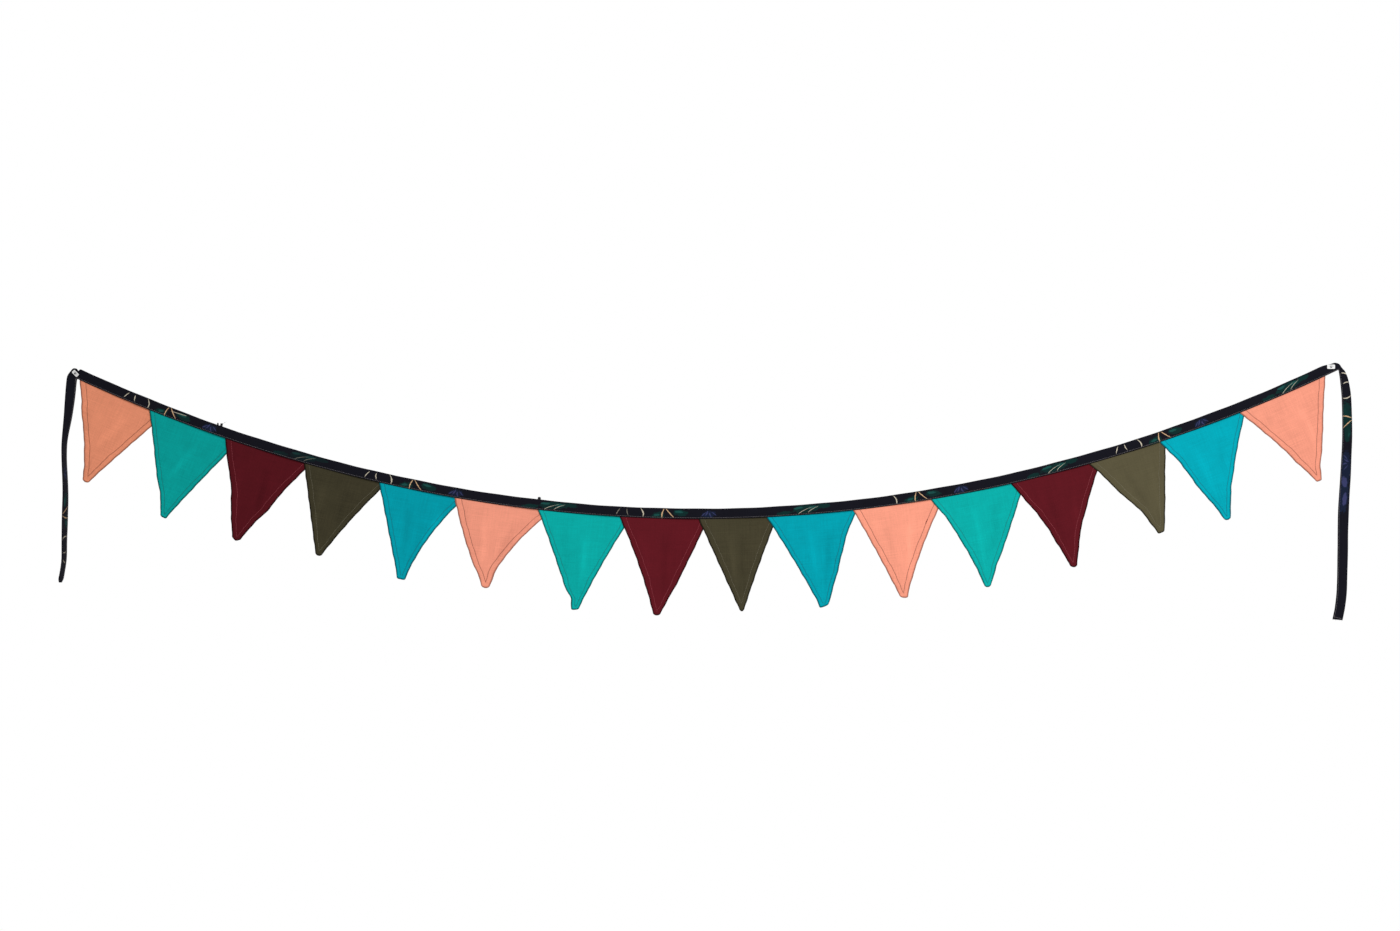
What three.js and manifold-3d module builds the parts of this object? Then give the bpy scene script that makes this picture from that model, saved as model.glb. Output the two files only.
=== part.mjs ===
// A hand-sewn bunting: sixteen pennants on one folded tape, held to a wall by two clips
// Millimetres, +X right, +Z up, +Y into the wall, origin on the wall halfway between the clips
import * as THREE from 'three';
import { mergeVertices } from 'three/addons/utils/BufferGeometryUtils.js';
import Module from 'manifold-3d';

// Hanging curve: the tape's top fold is a catenary
const CURVE_SPAN = 2433;
const CURVE_LOW_X = -8.8;
const CURVE_LOW_Z = -242.4;
const BAND_START_X = -1087;
const BAND_END_X = 1103;
const BAND_STEPS = 72;

// Folded tape: two sides of cloth with a slot between them that takes the pennants
const TAPE_WIDTH = 18;
const TAPE_SIDE = 1;
const SLOT_SHARE = 0.8;
const SLOT_FLAGS = 1.75;
const SLOT_END = 0.95;
const SLOT_TIE = 0.2;
const SLOT_RAMP = 90;
const TIE_RAMP = 40;
const FOLD_ROUNDING = 2.6;

// The free stretch stands a little off the wall, and lies on it at the clips
const STAND_OFF = 3;
const STAND_OFF_FROM_X = 1020;
const STAND_OFF_FULL_X = 700;

// In-plane turns at the clips, where the band becomes a hanging tie
const TURN_INNER_RADIUS = 1.5;
const LEFT_TIE_HEADING = 84;
const RIGHT_TIE_HEADING = -88;
const LEFT_TURN_STEPS = 9;
const RIGHT_TURN_STEPS = 10;
const TIE_STEPS = 24;
const GATHER_FROM_X = 1080;

// The right turn is gathered: its width by the share of the turn that is done
const RIGHT_GATHER = [
  { turned: 0, width: 14.3 },
  { turned: 0.3, width: 11 },
  { turned: 0.55, width: 8 },
  { turned: 0.8, width: 8 },
  { turned: 1, width: 10.5 },
];

// Hanging ties: drop below the hang line, centre across, centre depth, turn about the length, width
const LEFT_TIE = [
  { drop: 77, x: -1111, depth: -9.4, twist: 53, width: 18 },
  { drop: 133, x: -1117.5, depth: -9.8, twist: 70, width: 18 },
  { drop: 215, x: -1115.5, depth: -9.8, twist: 69, width: 18 },
  { drop: 257, x: -1116.5, depth: -9.6, twist: 66, width: 18 },
  { drop: 299, x: -1117, depth: -9.8, twist: 69, width: 18 },
  { drop: 332, x: -1118, depth: -9.8, twist: 70, width: 18 },
  { drop: 355, x: -1121, depth: -9.8, twist: 67, width: 18 },
  { drop: 366, x: -1123, depth: -9.8, twist: 66, width: 17 },
  { drop: 371, x: -1124, depth: -9.8, twist: 66, width: 12 },
];
const RIGHT_TIE = [
  { drop: 17, x: 1122.3, depth: -2.2, twist: 0, width: 14.5 },
  { drop: 52, x: 1125.6, depth: -4, twist: 12, width: 15.8 },
  { drop: 115, x: 1126.8, depth: -6.4, twist: 28, width: 18 },
  { drop: 182, x: 1124, depth: -5.4, twist: 20, width: 18 },
  { drop: 248, x: 1120.6, depth: -3.4, twist: 4, width: 18 },
  { drop: 315, x: 1119, depth: -4, twist: -8, width: 18 },
  { drop: 383, x: 1117.4, depth: -6.6, twist: -30, width: 18 },
  { drop: 416, x: 1114.2, depth: -6.2, twist: -26, width: 18 },
  { drop: 437, x: 1110.1, depth: -5.2, twist: -12, width: 18 },
];

// Pennants: a turned double layer, thinner at its pressed seams, held in the tape's slot
const FLAG_HALF = 0.65;
const FLAG_EDGE_HALF = 0.4;
const FLAG_INSERT = 11;
const FLAG_COLUMNS = 8;
const FLAG_ROWS = 11;
const TIP_ROUNDING = 5;
const SHINGLE_OFFSET = 0.8;
const SHINGLE_FLAT = 36;
const STILL_BELOW_TAPE = 18;
const LOOSE_BELOW_TAPE = 80;
const FOLD_HALF_WIDTH = 24;

// One row each: where it hangs on the tape's lower edge, its corners and tip along that edge, its drop,
// half the width of its blunt tip, the bow of each side, and how far the tip leans and one soft fold
// stands out of the plane
const FLAGS = [
  { colour: 'peach', at: -1034, left: -61, right: 95, tip: 15.5, drop: 157.5, tipHalf: 7, leftBow: -5.5,
    rightBow: -2.5, lean: -3, foldAt: 30, fold: -1.6 },
  { colour: 'green_teal', at: -903.5, left: -71, right: 93, tip: 17, drop: 165, tipHalf: 6, leftBow: -0.5,
    rightBow: -3, lean: -4, foldAt: -6, fold: -1.8 },
  { colour: 'maroon', at: -769.5, left: -71, right: 85, tip: 0, drop: 163.5, tipHalf: 7, leftBow: 0,
    rightBow: -3.5, lean: -2, foldAt: 22, fold: -2 },
  { colour: 'olive', at: -636, left: -66, right: 81, tip: -1, drop: 148.5, tipHalf: 5.5, leftBow: 0,
    rightBow: -4.5, lean: 1, foldAt: -14, fold: -2.2 },
  { colour: 'blue_teal', at: -502.5, left: -66.5, right: 82, tip: 4.5, drop: 156.5, tipHalf: 6.5, leftBow: 0,
    rightBow: -10, lean: -3, foldAt: 10, fold: 2.4 },
  { colour: 'peach', at: -362, left: -73.5, right: 92, tip: 1, drop: 146, tipHalf: 7, leftBow: 4.5,
    rightBow: -14, lean: -5, foldAt: -20, fold: -2.4 },
  { colour: 'green_teal', at: -214.5, left: -75, right: 86, tip: 3, drop: 166, tipHalf: 6.5, leftBow: -1.5,
    rightBow: -3.5, lean: 1.5, foldAt: 16, fold: -1.8 },
  { colour: 'maroon', at: -71, left: -75, right: 78, tip: -5.5, drop: 168.5, tipHalf: 6.5, leftBow: -4,
    rightBow: 1, lean: -2, foldAt: 0, fold: 2 },
  { colour: 'olive', at: 58, left: -66, right: 71, tip: 3, drop: 162, tipHalf: 4, leftBow: 0,
    rightBow: -2.5, lean: 2, foldAt: -8, fold: -2.6 },
  { colour: 'blue_teal', at: 192.5, left: -81, right: 79, tip: 3, drop: 161.5, tipHalf: 6, leftBow: -2,
    rightBow: -3, lean: -3, foldAt: 12, fold: 2.6 },
  { colour: 'peach', at: 337, left: -75.5, right: 82, tip: -6.5, drop: 162, tipHalf: 6, leftBow: -1.5,
    rightBow: -7.5, lean: 1, foldAt: -4, fold: -1.8 },
  { colour: 'green_teal', at: 480.5, left: -84, right: 84, tip: -16, drop: 167.5, tipHalf: 6, leftBow: -7,
    rightBow: 0, lean: -4, foldAt: 6, fold: 2.2 },
  { colour: 'maroon', at: 622, left: -85, right: 74, tip: -17, drop: 165.5, tipHalf: 6, leftBow: -7,
    rightBow: -6.5, lean: -2, foldAt: -24, fold: -2 },
  { colour: 'olive', at: 749, left: -75, right: 64, tip: 6, drop: 150, tipHalf: 5.5, leftBow: -5,
    rightBow: 1, lean: -3, foldAt: 14, fold: -2 },
  { colour: 'blue_teal', at: 880, left: -86, right: 71, tip: -22, drop: 166.5, tipHalf: 5.5, leftBow: -3,
    rightBow: -6.5, lean: -4, foldAt: -10, fold: -1.8 },
  { colour: 'peach', at: 1023.5, left: -91, right: 69, tip: -12.5, drop: 162.5, tipHalf: 5, leftBow: -3.5,
    rightBow: -2, lean: -3, foldAt: -26, fold: -1.4 },
];

// Wall clips: a rounded plastic plate in front of the tape, with a nail through its middle
const CLIP_THICK = 2;
const CLIP_CORNER = 1.8;
const CLEARANCE = 0.3;
const NAIL_RADIUS = 0.8;
const NAIL_HEAD_RADIUS = 1.7;
const NAIL_HEAD_EDGE = 0.5;
const NAIL_HEAD_RISE = 1;
const ROUND_SIDES = 16;
const CORNER_SIDES = 6;
const CLIPS = [
  { side: 'left', x: -1098.8, z: -5.8, long: 12.4, short: 6.8, turn: -46 },
  { side: 'right', x: 1098.7, z: 5.8, long: 14, short: 7.7, turn: 0 },
];

// Finishes
const FINISH = {
  tape: { color: 0x17171f, roughness: 0.85, metalness: 0 },
  peach: { color: 0xea977d, roughness: 0.9, metalness: 0 },
  green_teal: { color: 0x0aa8a0, roughness: 0.9, metalness: 0 },
  maroon: { color: 0x5e141e, roughness: 0.9, metalness: 0 },
  olive: { color: 0x504a36, roughness: 0.9, metalness: 0 },
  blue_teal: { color: 0x00a4b4, roughness: 0.9, metalness: 0 },
  clip: { color: 0xf0f0ee, roughness: 0.4, metalness: 0 },
  nail: { color: 0x5a5a5c, roughness: 0.35, metalness: 0.9 },
};

const { clamp, degToRad, lerp, smoothstep } = THREE.MathUtils;
const TOWARDS_VIEWER = new THREE.Vector3(0, -1, 0);

// Smooth value of one column between the rows of a table sorted by its key column
function along(rows, key, column, value) {
  const last = rows.length - 1;
  let i = 0;
  while (i < last - 1 && value > rows[i + 1][key]) {
    i += 1;
  }
  const from = rows[i];
  const to = rows[i + 1];
  const before = rows[Math.max(i - 1, 0)];
  const after = rows[Math.min(i + 2, last)];
  const step = to[key] - from[key];
  const f = clamp((value - from[key]) / step, 0, 1);
  const slopeFrom = step * (to[column] - before[column]) / (to[key] - before[key]);
  const slopeTo = step * (after[column] - from[column]) / (after[key] - from[key]);
  const f2 = f * f;
  const f3 = f2 * f;
  return (2 * f3 - 3 * f2 + 1) * from[column] + (f3 - 2 * f2 + f) * slopeFrom
    + (3 * f2 - 2 * f3) * to[column] + (f3 - f2) * slopeTo;
}

// Slope angle of the hanging curve at x
function curveAngle(x) {
  return Math.atan(Math.sinh((x - CURVE_LOW_X) / CURVE_SPAN));
}

// Unit vector across the tape, to the left of its heading
function across(heading) {
  return new THREE.Vector3(-Math.sin(heading), 0, Math.cos(heading));
}

// Point of the tape's lower edge under the top fold at x
function lowerEdge(x) {
  const rise = CURVE_SPAN * (Math.cosh((x - CURVE_LOW_X) / CURVE_SPAN) - 1);
  const top = new THREE.Vector3(x, 0, CURVE_LOW_Z + rise);
  return top.addScaledVector(across(curveAngle(x)), -TAPE_WIDTH);
}

// Half of the slot between the tape's two sides, narrower where only one pennant is in it
function slotHalf(x) {
  const fromEnd = Math.min(x - BAND_START_X, BAND_END_X - x);
  return lerp(SLOT_END, SLOT_FLAGS, smoothstep(fromEnd, 0, SLOT_RAMP));
}

// Depth of the tape's middle plane at x
function middleDepth(x) {
  const free = 1 - smoothstep(Math.abs(x), STAND_OFF_FULL_X, STAND_OFF_FROM_X);
  return -(slotHalf(x) + TAPE_SIDE) - STAND_OFF * free;
}

// One cross-section of the tape in space, turned about its length by twist
function station(centre, heading, width, slot, twist = 0) {
  const flat = across(heading);
  const edgeways = new THREE.Vector3();
  edgeways.addScaledVector(flat, Math.cos(twist)).addScaledVector(TOWARDS_VIEWER, Math.sin(twist));
  const outward = new THREE.Vector3();
  outward.addScaledVector(TOWARDS_VIEWER, Math.cos(twist)).addScaledVector(flat, -Math.sin(twist));
  return { centre, edgeways, outward, width, slot };
}

// The arch of tape that carries the pennants
function bandStations() {
  const stations = [];
  for (let i = 0; i <= BAND_STEPS; i += 1) {
    const x = lerp(BAND_START_X, BAND_END_X, i / BAND_STEPS);
    const heading = curveAngle(x);
    const gathered = smoothstep(x, GATHER_FROM_X, BAND_END_X);
    const width = lerp(TAPE_WIDTH, RIGHT_GATHER[0].width, gathered);
    const centre = lowerEdge(x).addScaledVector(across(heading), width / 2);
    centre.y = middleDepth(x);
    stations.push(station(centre, heading, width, slotHalf(x)));
  }
  return stations;
}

// A turn in the plane of the wall about the point just inside the band's lower edge at x
function turnStations(x, fromHeading, toHeading, steps, widthAt) {
  const pivot = lowerEdge(x).addScaledVector(across(curveAngle(x)), -TURN_INNER_RADIUS);
  const stations = [];
  for (let i = 0; i <= steps; i += 1) {
    const heading = lerp(fromHeading, toHeading, i / steps);
    const width = widthAt(i / steps);
    const centre = pivot.clone().addScaledVector(across(heading), TURN_INNER_RADIUS + width / 2);
    centre.y = -(SLOT_END + TAPE_SIDE);
    stations.push(station(centre, heading, width, SLOT_END));
  }
  return stations;
}

// A hanging tie from the end of its turn down to its cut end
function tieStations(turnEnd, table, upward) {
  const top = {
    drop: -turnEnd.centre.z,
    x: turnEnd.centre.x,
    depth: turnEnd.centre.y,
    twist: 0,
    width: turnEnd.width,
  };
  const rows = [top, ...table];
  const length = rows[rows.length - 1].drop - top.drop;
  const stations = [];
  for (let i = 1; i <= TIE_STEPS; i += 1) {
    const drop = top.drop + length * i / TIE_STEPS;
    const lean = along(rows, 'drop', 'x', drop + 1) - along(rows, 'drop', 'x', drop - 1);
    const down = Math.atan2(-2, lean);
    const heading = upward ? down + Math.PI : down;
    const centre = new THREE.Vector3(
      along(rows, 'drop', 'x', drop),
      along(rows, 'drop', 'depth', drop),
      -drop,
    );
    const slot = lerp(SLOT_END, SLOT_TIE, smoothstep(drop - top.drop, 0, TIE_RAMP));
    const twist = degToRad(along(rows, 'drop', 'twist', drop));
    stations.push(station(centre, heading, along(rows, 'drop', 'width', drop), slot, twist));
  }
  return stations;
}

// Outline of the folded tape: distance from mid-width towards the fold, and distance out of its plane
function tapeSection(width, slot) {
  const half = slot + TAPE_SIDE;
  const open = -width / 2;
  const fold = width / 2;
  const slotEnd = open + SLOT_SHARE * width;
  return [
    [open, -half],
    [fold - FOLD_ROUNDING, -half],
    [fold - 0.3 * FOLD_ROUNDING, -0.72 * half],
    [fold, -0.22 * half],
    [fold, 0.22 * half],
    [fold - 0.3 * FOLD_ROUNDING, 0.72 * half],
    [fold - FOLD_ROUNDING, half],
    [open, half],
    [open, slot],
    [slotEnd, slot],
    [slotEnd, -slot],
    [open, -slot],
  ];
}

// A closed geometry with its faces pointing out
function closedGeometry(positions, triangles) {
  let volume = 0;
  const corners = [new THREE.Vector3(), new THREE.Vector3(), new THREE.Vector3()];
  for (let i = 0; i < triangles.length; i += 3) {
    corners.forEach((corner, k) => corner.fromArray(positions, 3 * triangles[i + k]));
    volume += corners[0].dot(corners[1].cross(corners[2]));
  }
  const facing = volume < 0 ? triangles.toReversed() : triangles;
  const geometry = new THREE.BufferGeometry();
  geometry.setAttribute('position', new THREE.Float32BufferAttribute(positions, 3));
  geometry.setIndex(facing);
  return geometry;
}

// Skin over a run of cross-sections, closed at both ends
function loft(stations) {
  const positions = [];
  const triangles = [];
  const points = tapeSection(TAPE_WIDTH, SLOT_FLAGS).length;
  for (const { centre, edgeways, outward, width, slot } of stations) {
    for (const [toFold, out] of tapeSection(width, slot)) {
      const point = centre.clone().addScaledVector(edgeways, toFold).addScaledVector(outward, out);
      positions.push(point.x, point.y, point.z);
    }
  }
  for (let s = 0; s + 1 < stations.length; s += 1) {
    for (let p = 0; p < points; p += 1) {
      const a = s * points + p;
      const b = s * points + (p + 1) % points;
      triangles.push(a, b, b + points, a, b + points, a + points);
    }
  }
  const outline = tapeSection(TAPE_WIDTH, SLOT_FLAGS).map(([u, v]) => new THREE.Vector2(u, v));
  const endOffset = (stations.length - 1) * points;
  for (const [a, b, c] of THREE.ShapeUtils.triangulateShape(outline, [])) {
    triangles.push(a, c, b);
    triangles.push(a + endOffset, b + endOffset, c + endOffset);
  }
  return closedGeometry(positions, triangles);
}

// Where the tape's lower edge passes x, and its heading there
function edgeFrame(lowerX) {
  let x = lowerX;
  for (let i = 0; i < 6; i += 1) {
    x = lowerX - TAPE_WIDTH * Math.sin(curveAngle(x));
  }
  const heading = curveAngle(x);
  const up = across(heading);
  const right = new THREE.Vector3(Math.cos(heading), 0, Math.sin(heading));
  return { origin: lowerEdge(x), right, up };
}

// Depth offset that puts a pennant's left corner in front of its neighbour's right one
function shingle(u, flag, index) {
  const front = index === 0 ? 0 : SHINGLE_OFFSET;
  const back = index === FLAGS.length - 1 ? 0 : SHINGLE_OFFSET;
  return lerp(-front, back, smoothstep(u, flag.left + SHINGLE_FLAT, flag.right - SHINGLE_FLAT));
}

// A pennant: a thin closed sheet over a grid of columns across and rows down
function flagGeometry(flag, index) {
  const { origin, right, up } = edgeFrame(flag.at);
  const sideDrop = flag.drop - TIP_ROUNDING;
  const front = [];
  const back = [];
  for (let j = 0; j <= FLAG_ROWS; j += 1) {
    const rowDrop = j === 0 ? -FLAG_INSERT : sideDrop * (j - 1) / (FLAG_ROWS - 1);
    const f = Math.max(rowDrop, 0) / sideDrop;
    const bulge = 4 * f * (1 - f);
    const leftSide = lerp(flag.left, flag.tip - flag.tipHalf, f) - flag.leftBow * bulge;
    const rightSide = lerp(flag.right, flag.tip + flag.tipHalf, f) + flag.rightBow * bulge;
    for (let k = 0; k <= FLAG_COLUMNS; k += 1) {
      const arc = Math.PI * k / FLAG_COLUMNS;
      const u = lerp(leftSide, rightSide, (1 - Math.cos(arc)) / 2);
      const v = rowDrop + (j === FLAG_ROWS ? TIP_ROUNDING * Math.sin(arc) : 0);
      const point = origin.clone().addScaledVector(right, u).addScaledVector(up, -v);
      const loose = smoothstep(v, STILL_BELOW_TAPE, LOOSE_BELOW_TAPE);
      const lean = flag.lean * (v / flag.drop) ** 2;
      const fold = flag.fold * Math.exp(-(((u - flag.foldAt) / FOLD_HALF_WIDTH) ** 2));
      const depth = middleDepth(point.x) + shingle(u, flag, index) + loose * (lean + fold);
      const edge = k === 0 || k === FLAG_COLUMNS || j === FLAG_ROWS;
      const half = edge ? FLAG_EDGE_HALF : FLAG_HALF;
      front.push(point.x, depth - half, point.z);
      back.push(point.x, depth + half, point.z);
    }
  }
  return sheetGeometry(front, back, FLAG_COLUMNS, FLAG_ROWS);
}

// Two grids of points joined by a rim
function sheetGeometry(front, back, columns, rows) {
  const behind = front.length / 3;
  const at = (j, k) => j * (columns + 1) + k;
  const triangles = [];
  for (let j = 0; j < rows; j += 1) {
    for (let k = 0; k < columns; k += 1) {
      const [a, b, c, d] = [at(j, k), at(j, k + 1), at(j + 1, k + 1), at(j + 1, k)];
      triangles.push(a, c, b, a, d, c);
      triangles.push(a + behind, b + behind, c + behind, a + behind, c + behind, d + behind);
    }
  }
  const rim = [];
  for (let k = 0; k < columns; k += 1) {
    rim.push(at(0, k));
  }
  for (let j = 0; j < rows; j += 1) {
    rim.push(at(j, columns));
  }
  for (let k = columns; k > 0; k -= 1) {
    rim.push(at(rows, k));
  }
  for (let j = rows; j > 0; j -= 1) {
    rim.push(at(j, 0));
  }
  rim.forEach((a, i) => {
    const b = rim[(i + 1) % rim.length];
    triangles.push(a, b, b + behind, a, b + behind, a + behind);
  });
  return closedGeometry([...front, ...back], triangles);
}

// Front of the tape at the clips, and the front of the clip plate over it
const TAPE_FRONT = -2 * (SLOT_END + TAPE_SIDE);
const CLIP_BACK = TAPE_FRONT - CLEARANCE;
const CLIP_FRONT = CLIP_BACK - CLIP_THICK;

// Rounded plate with a hole for the nail, extruded towards the viewer
function clipGeometry(clip) {
  const x = clip.long / 2 - CLIP_CORNER;
  const y = clip.short / 2 - CLIP_CORNER;
  const plate = new THREE.Shape();
  plate.absarc(x, y, CLIP_CORNER, 0, Math.PI / 2);
  plate.absarc(-x, y, CLIP_CORNER, Math.PI / 2, Math.PI);
  plate.absarc(-x, -y, CLIP_CORNER, Math.PI, 1.5 * Math.PI);
  plate.absarc(x, -y, CLIP_CORNER, 1.5 * Math.PI, 2 * Math.PI);
  const hole = new THREE.Path();
  hole.absarc(0, 0, NAIL_RADIUS + CLEARANCE, 0, 2 * Math.PI, true);
  plate.holes.push(hole);
  const solid = { depth: CLIP_THICK, bevelEnabled: false, curveSegments: CORNER_SIDES };
  const geometry = new THREE.ExtrudeGeometry(plate, solid);
  geometry.rotateX(Math.PI / 2);
  return geometry;
}

// Shank and low domed head turned about the depth axis, its end flush with the wall
function nailGeometry() {
  const underHead = CLIP_FRONT - CLEARANCE;
  const profile = [
    [0, 0],
    [NAIL_RADIUS, 0],
    [NAIL_RADIUS, underHead],
    [NAIL_HEAD_RADIUS, underHead],
    [NAIL_HEAD_RADIUS, underHead - NAIL_HEAD_EDGE],
    [0.6 * NAIL_HEAD_RADIUS, underHead - 0.9 * NAIL_HEAD_RISE],
    [0, underHead - NAIL_HEAD_RISE],
  ];
  const points = profile.map(([radius, depth]) => new THREE.Vector2(radius, depth));
  return closedFrom(new THREE.LatheGeometry(points, ROUND_SIDES));
}

// The same geometry with shared corners merged and its faces pointing out
function closedFrom(geometry) {
  const bare = geometry.index ? geometry.toNonIndexed() : geometry.clone();
  bare.deleteAttribute('normal');
  bare.deleteAttribute('uv');
  const merged = mergeVertices(bare, 1e-4);
  const triangles = [];
  for (let i = 0; i < merged.index.count; i += 3) {
    const [a, b, c] = [merged.index.getX(i), merged.index.getX(i + 1), merged.index.getX(i + 2)];
    if (a !== b && b !== c && c !== a) {
      triangles.push(a, b, c);
    }
  }
  return closedGeometry([...merged.attributes.position.array], triangles);
}

const wasm = await Module();
wasm.setup();

function toSolid(geometry) {
  const vertProperties = new Float32Array(geometry.attributes.position.array);
  const triVerts = new Uint32Array(geometry.index.array);
  return new wasm.Manifold(new wasm.Mesh({ numProp: 3, vertProperties, triVerts }));
}

// The tape from the end of the left tie, over the arch, to the end of the right tie, with its nail holes
function tapeGeometry() {
  const startHeading = curveAngle(BAND_START_X);
  const endHeading = curveAngle(BAND_END_X);
  const fullWidth = () => TAPE_WIDTH;
  const gathered = (turned) => along(RIGHT_GATHER, 'turned', 'width', turned);
  const leftTurn = turnStations(
    BAND_START_X, degToRad(LEFT_TIE_HEADING), startHeading, LEFT_TURN_STEPS, fullWidth,
  );
  const rightTurn = turnStations(
    BAND_END_X, endHeading, degToRad(RIGHT_TIE_HEADING), RIGHT_TURN_STEPS, gathered,
  );
  const leftTie = tieStations(leftTurn[0], LEFT_TIE, true).toReversed();
  const rightTie = tieStations(rightTurn[RIGHT_TURN_STEPS], RIGHT_TIE, false);
  const band = bandStations().slice(1, -1);
  let tape = toSolid(loft([...leftTie, ...leftTurn, ...band, ...rightTurn, ...rightTie]));
  for (const { x, z } of CLIPS) {
    const radius = NAIL_RADIUS + CLEARANCE;
    const drill = new THREE.CylinderGeometry(radius, radius, -4 * TAPE_FRONT, ROUND_SIDES);
    drill.translate(x, 0, z);
    tape = tape.subtract(toSolid(closedFrom(drill)));
  }
  const { vertProperties, triVerts } = tape.getMesh();
  return closedGeometry([...vertProperties], [...triVerts]);
}

function piece(name, geometry, finish) {
  const mesh = new THREE.Mesh(geometry, new THREE.MeshStandardMaterial(finish));
  mesh.name = name;
  return mesh;
}

const bunting = new THREE.Group();
bunting.add(piece('binding_tape', tapeGeometry(), FINISH.tape));

FLAGS.forEach((flag, index) => {
  const number = String(index + 1).padStart(2, '0');
  bunting.add(piece(`flag_${number}_${flag.colour}`, flagGeometry(flag, index), FINISH[flag.colour]));
});

for (const clip of CLIPS) {
  const plate = piece(`${clip.side}_clip`, clipGeometry(clip), FINISH.clip);
  plate.position.set(clip.x, CLIP_BACK, clip.z);
  plate.rotation.y = degToRad(-clip.turn);
  const nail = piece(`${clip.side}_nail`, nailGeometry(), FINISH.nail);
  nail.position.set(clip.x, 0, clip.z);
  bunting.add(plate, nail);
}

export default bunting;
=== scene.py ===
# %% [markdown]
# # A hand-sewn bunting
# Sixteen cotton pennants hang from one folded, printed tape, and two small clips hold the tape to a wall.
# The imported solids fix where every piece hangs. This lesson makes each cloth piece again as a fine sheet
# on the same curves, with its seams, stitches, creases and weave, and gives the hard pieces their rounding.
# All lengths in the tables are millimetres, and one factor turns them into Blender's metres.

from collections import namedtuple

import bpy
import numpy as np
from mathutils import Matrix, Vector


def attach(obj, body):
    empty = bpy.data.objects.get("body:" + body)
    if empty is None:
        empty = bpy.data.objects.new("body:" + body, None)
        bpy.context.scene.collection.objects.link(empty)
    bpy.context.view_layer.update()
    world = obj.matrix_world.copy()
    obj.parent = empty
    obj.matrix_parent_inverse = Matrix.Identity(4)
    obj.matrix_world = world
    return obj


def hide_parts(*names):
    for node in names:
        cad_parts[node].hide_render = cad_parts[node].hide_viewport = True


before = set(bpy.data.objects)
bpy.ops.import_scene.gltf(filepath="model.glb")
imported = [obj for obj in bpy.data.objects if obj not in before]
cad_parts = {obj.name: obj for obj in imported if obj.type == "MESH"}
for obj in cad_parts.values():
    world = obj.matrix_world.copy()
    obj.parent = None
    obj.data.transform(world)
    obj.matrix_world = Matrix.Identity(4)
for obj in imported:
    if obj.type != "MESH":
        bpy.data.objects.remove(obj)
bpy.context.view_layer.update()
MM = 0.001
print("solids in the packed model:", len(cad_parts))

# %% [markdown]
# ## The hanging line
# A string that hangs from two points takes the shape of a catenary, so the tape's top fold is a hyperbolic
# cosine. Drawing it as a formula, not as a hand-placed curve, lets every pennant ask for its own place and
# tilt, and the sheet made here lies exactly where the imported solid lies.

# %% The catenary's numbers, the tape's depth off the wall and two ways to pass from one value to another
CURVE_SPAN = 2433.0
CURVE_LOW_X = -8.8
CURVE_LOW_Z = -242.4
BAND_START_X = -1087.0
BAND_END_X = 1103.0
TAPE_WIDTH = 18.0
TAPE_SIDE = 1.0
SLOT_FLAGS = 1.75
SLOT_END = 0.95
SLOT_TIE = 0.2
SLOT_RAMP = 90.0
STAND_OFF = 3.0
STAND_OFF_FULL_X = 700.0
STAND_OFF_FROM_X = 1020.0
HANG_STEPS = 6


def blend(a, b, share):
    return a + (b - a) * share


def ease(value, low, high):
    share = np.clip((value - low) / (high - low), 0.0, 1.0)
    return share * share * (3.0 - 2.0 * share)


print("half way between two values an ease gives", ease(5.0, 0.0, 10.0))

# %% The tape's fold and lower edge, and the frame in which a pennant hangs


def curve_heading(x):
    return np.arctan(np.sinh((x - CURVE_LOW_X) / CURVE_SPAN))


def lower_edge(x):
    top = CURVE_LOW_Z + CURVE_SPAN * (np.cosh((x - CURVE_LOW_X) / CURVE_SPAN) - 1.0)
    heading = curve_heading(x)
    return np.array([x + TAPE_WIDTH * np.sin(heading), top - TAPE_WIDTH * np.cos(heading)])


def slot_half(x):
    from_end = np.minimum(x - BAND_START_X, BAND_END_X - x)
    return blend(SLOT_END, SLOT_FLAGS, ease(from_end, 0.0, SLOT_RAMP))


def middle_depth(x):
    free = 1.0 - ease(np.abs(x), STAND_OFF_FULL_X, STAND_OFF_FROM_X)
    return -(slot_half(x) + TAPE_SIDE) - STAND_OFF * free


def hang_frame(lower_x):
    x = lower_x
    for _ in range(HANG_STEPS):
        x = lower_x - TAPE_WIDTH * np.sin(curve_heading(x))
    heading = curve_heading(x)
    right = np.array([np.cos(heading), np.sin(heading)])
    down = np.array([np.sin(heading), -np.cos(heading)])
    return lower_edge(x), right, down


print("lowest point of the tape's lower edge:", np.round(lower_edge(CURVE_LOW_X), 1), "mm")

# %% [markdown]
# ## Meshes and node helpers
# A few small helpers keep the lesson short. One makes an object from points and faces, one stores values on
# the points for the materials to read, and the rest add shader nodes and build node groups. A group is made
# once and placed in every material that needs it, so all the cottons share one weave.

# %% Mesh helpers


def make_piece(name, points, faces, material):
    mesh = bpy.data.meshes.new(name)
    mesh.from_pydata((np.asarray(points) * MM).tolist(), [], faces)
    mesh.polygons.foreach_set("use_smooth", np.ones(len(mesh.polygons), dtype=bool))
    mesh.materials.append(material)
    mesh.update()
    piece = bpy.data.objects.new(name, mesh)
    bpy.context.collection.objects.link(piece)
    return piece


def store(piece, name, values):
    layer = piece.data.attributes.new(name, "FLOAT_VECTOR", "POINT")
    layer.data.foreach_set("vector", np.asarray(values, dtype=np.float32).ravel())


def lay_out(piece, corner_uv):
    layer = piece.data.uv_layers.new(name="OFBake")
    layer.data.foreach_set("uv", np.asarray(corner_uv, dtype=np.float32).ravel())


def fit(piece, slot, *nodes):
    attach(piece, "root")
    if nodes:
        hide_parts(*nodes)


print("one millimetre of the tables is", MM, "m in Blender")

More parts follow.
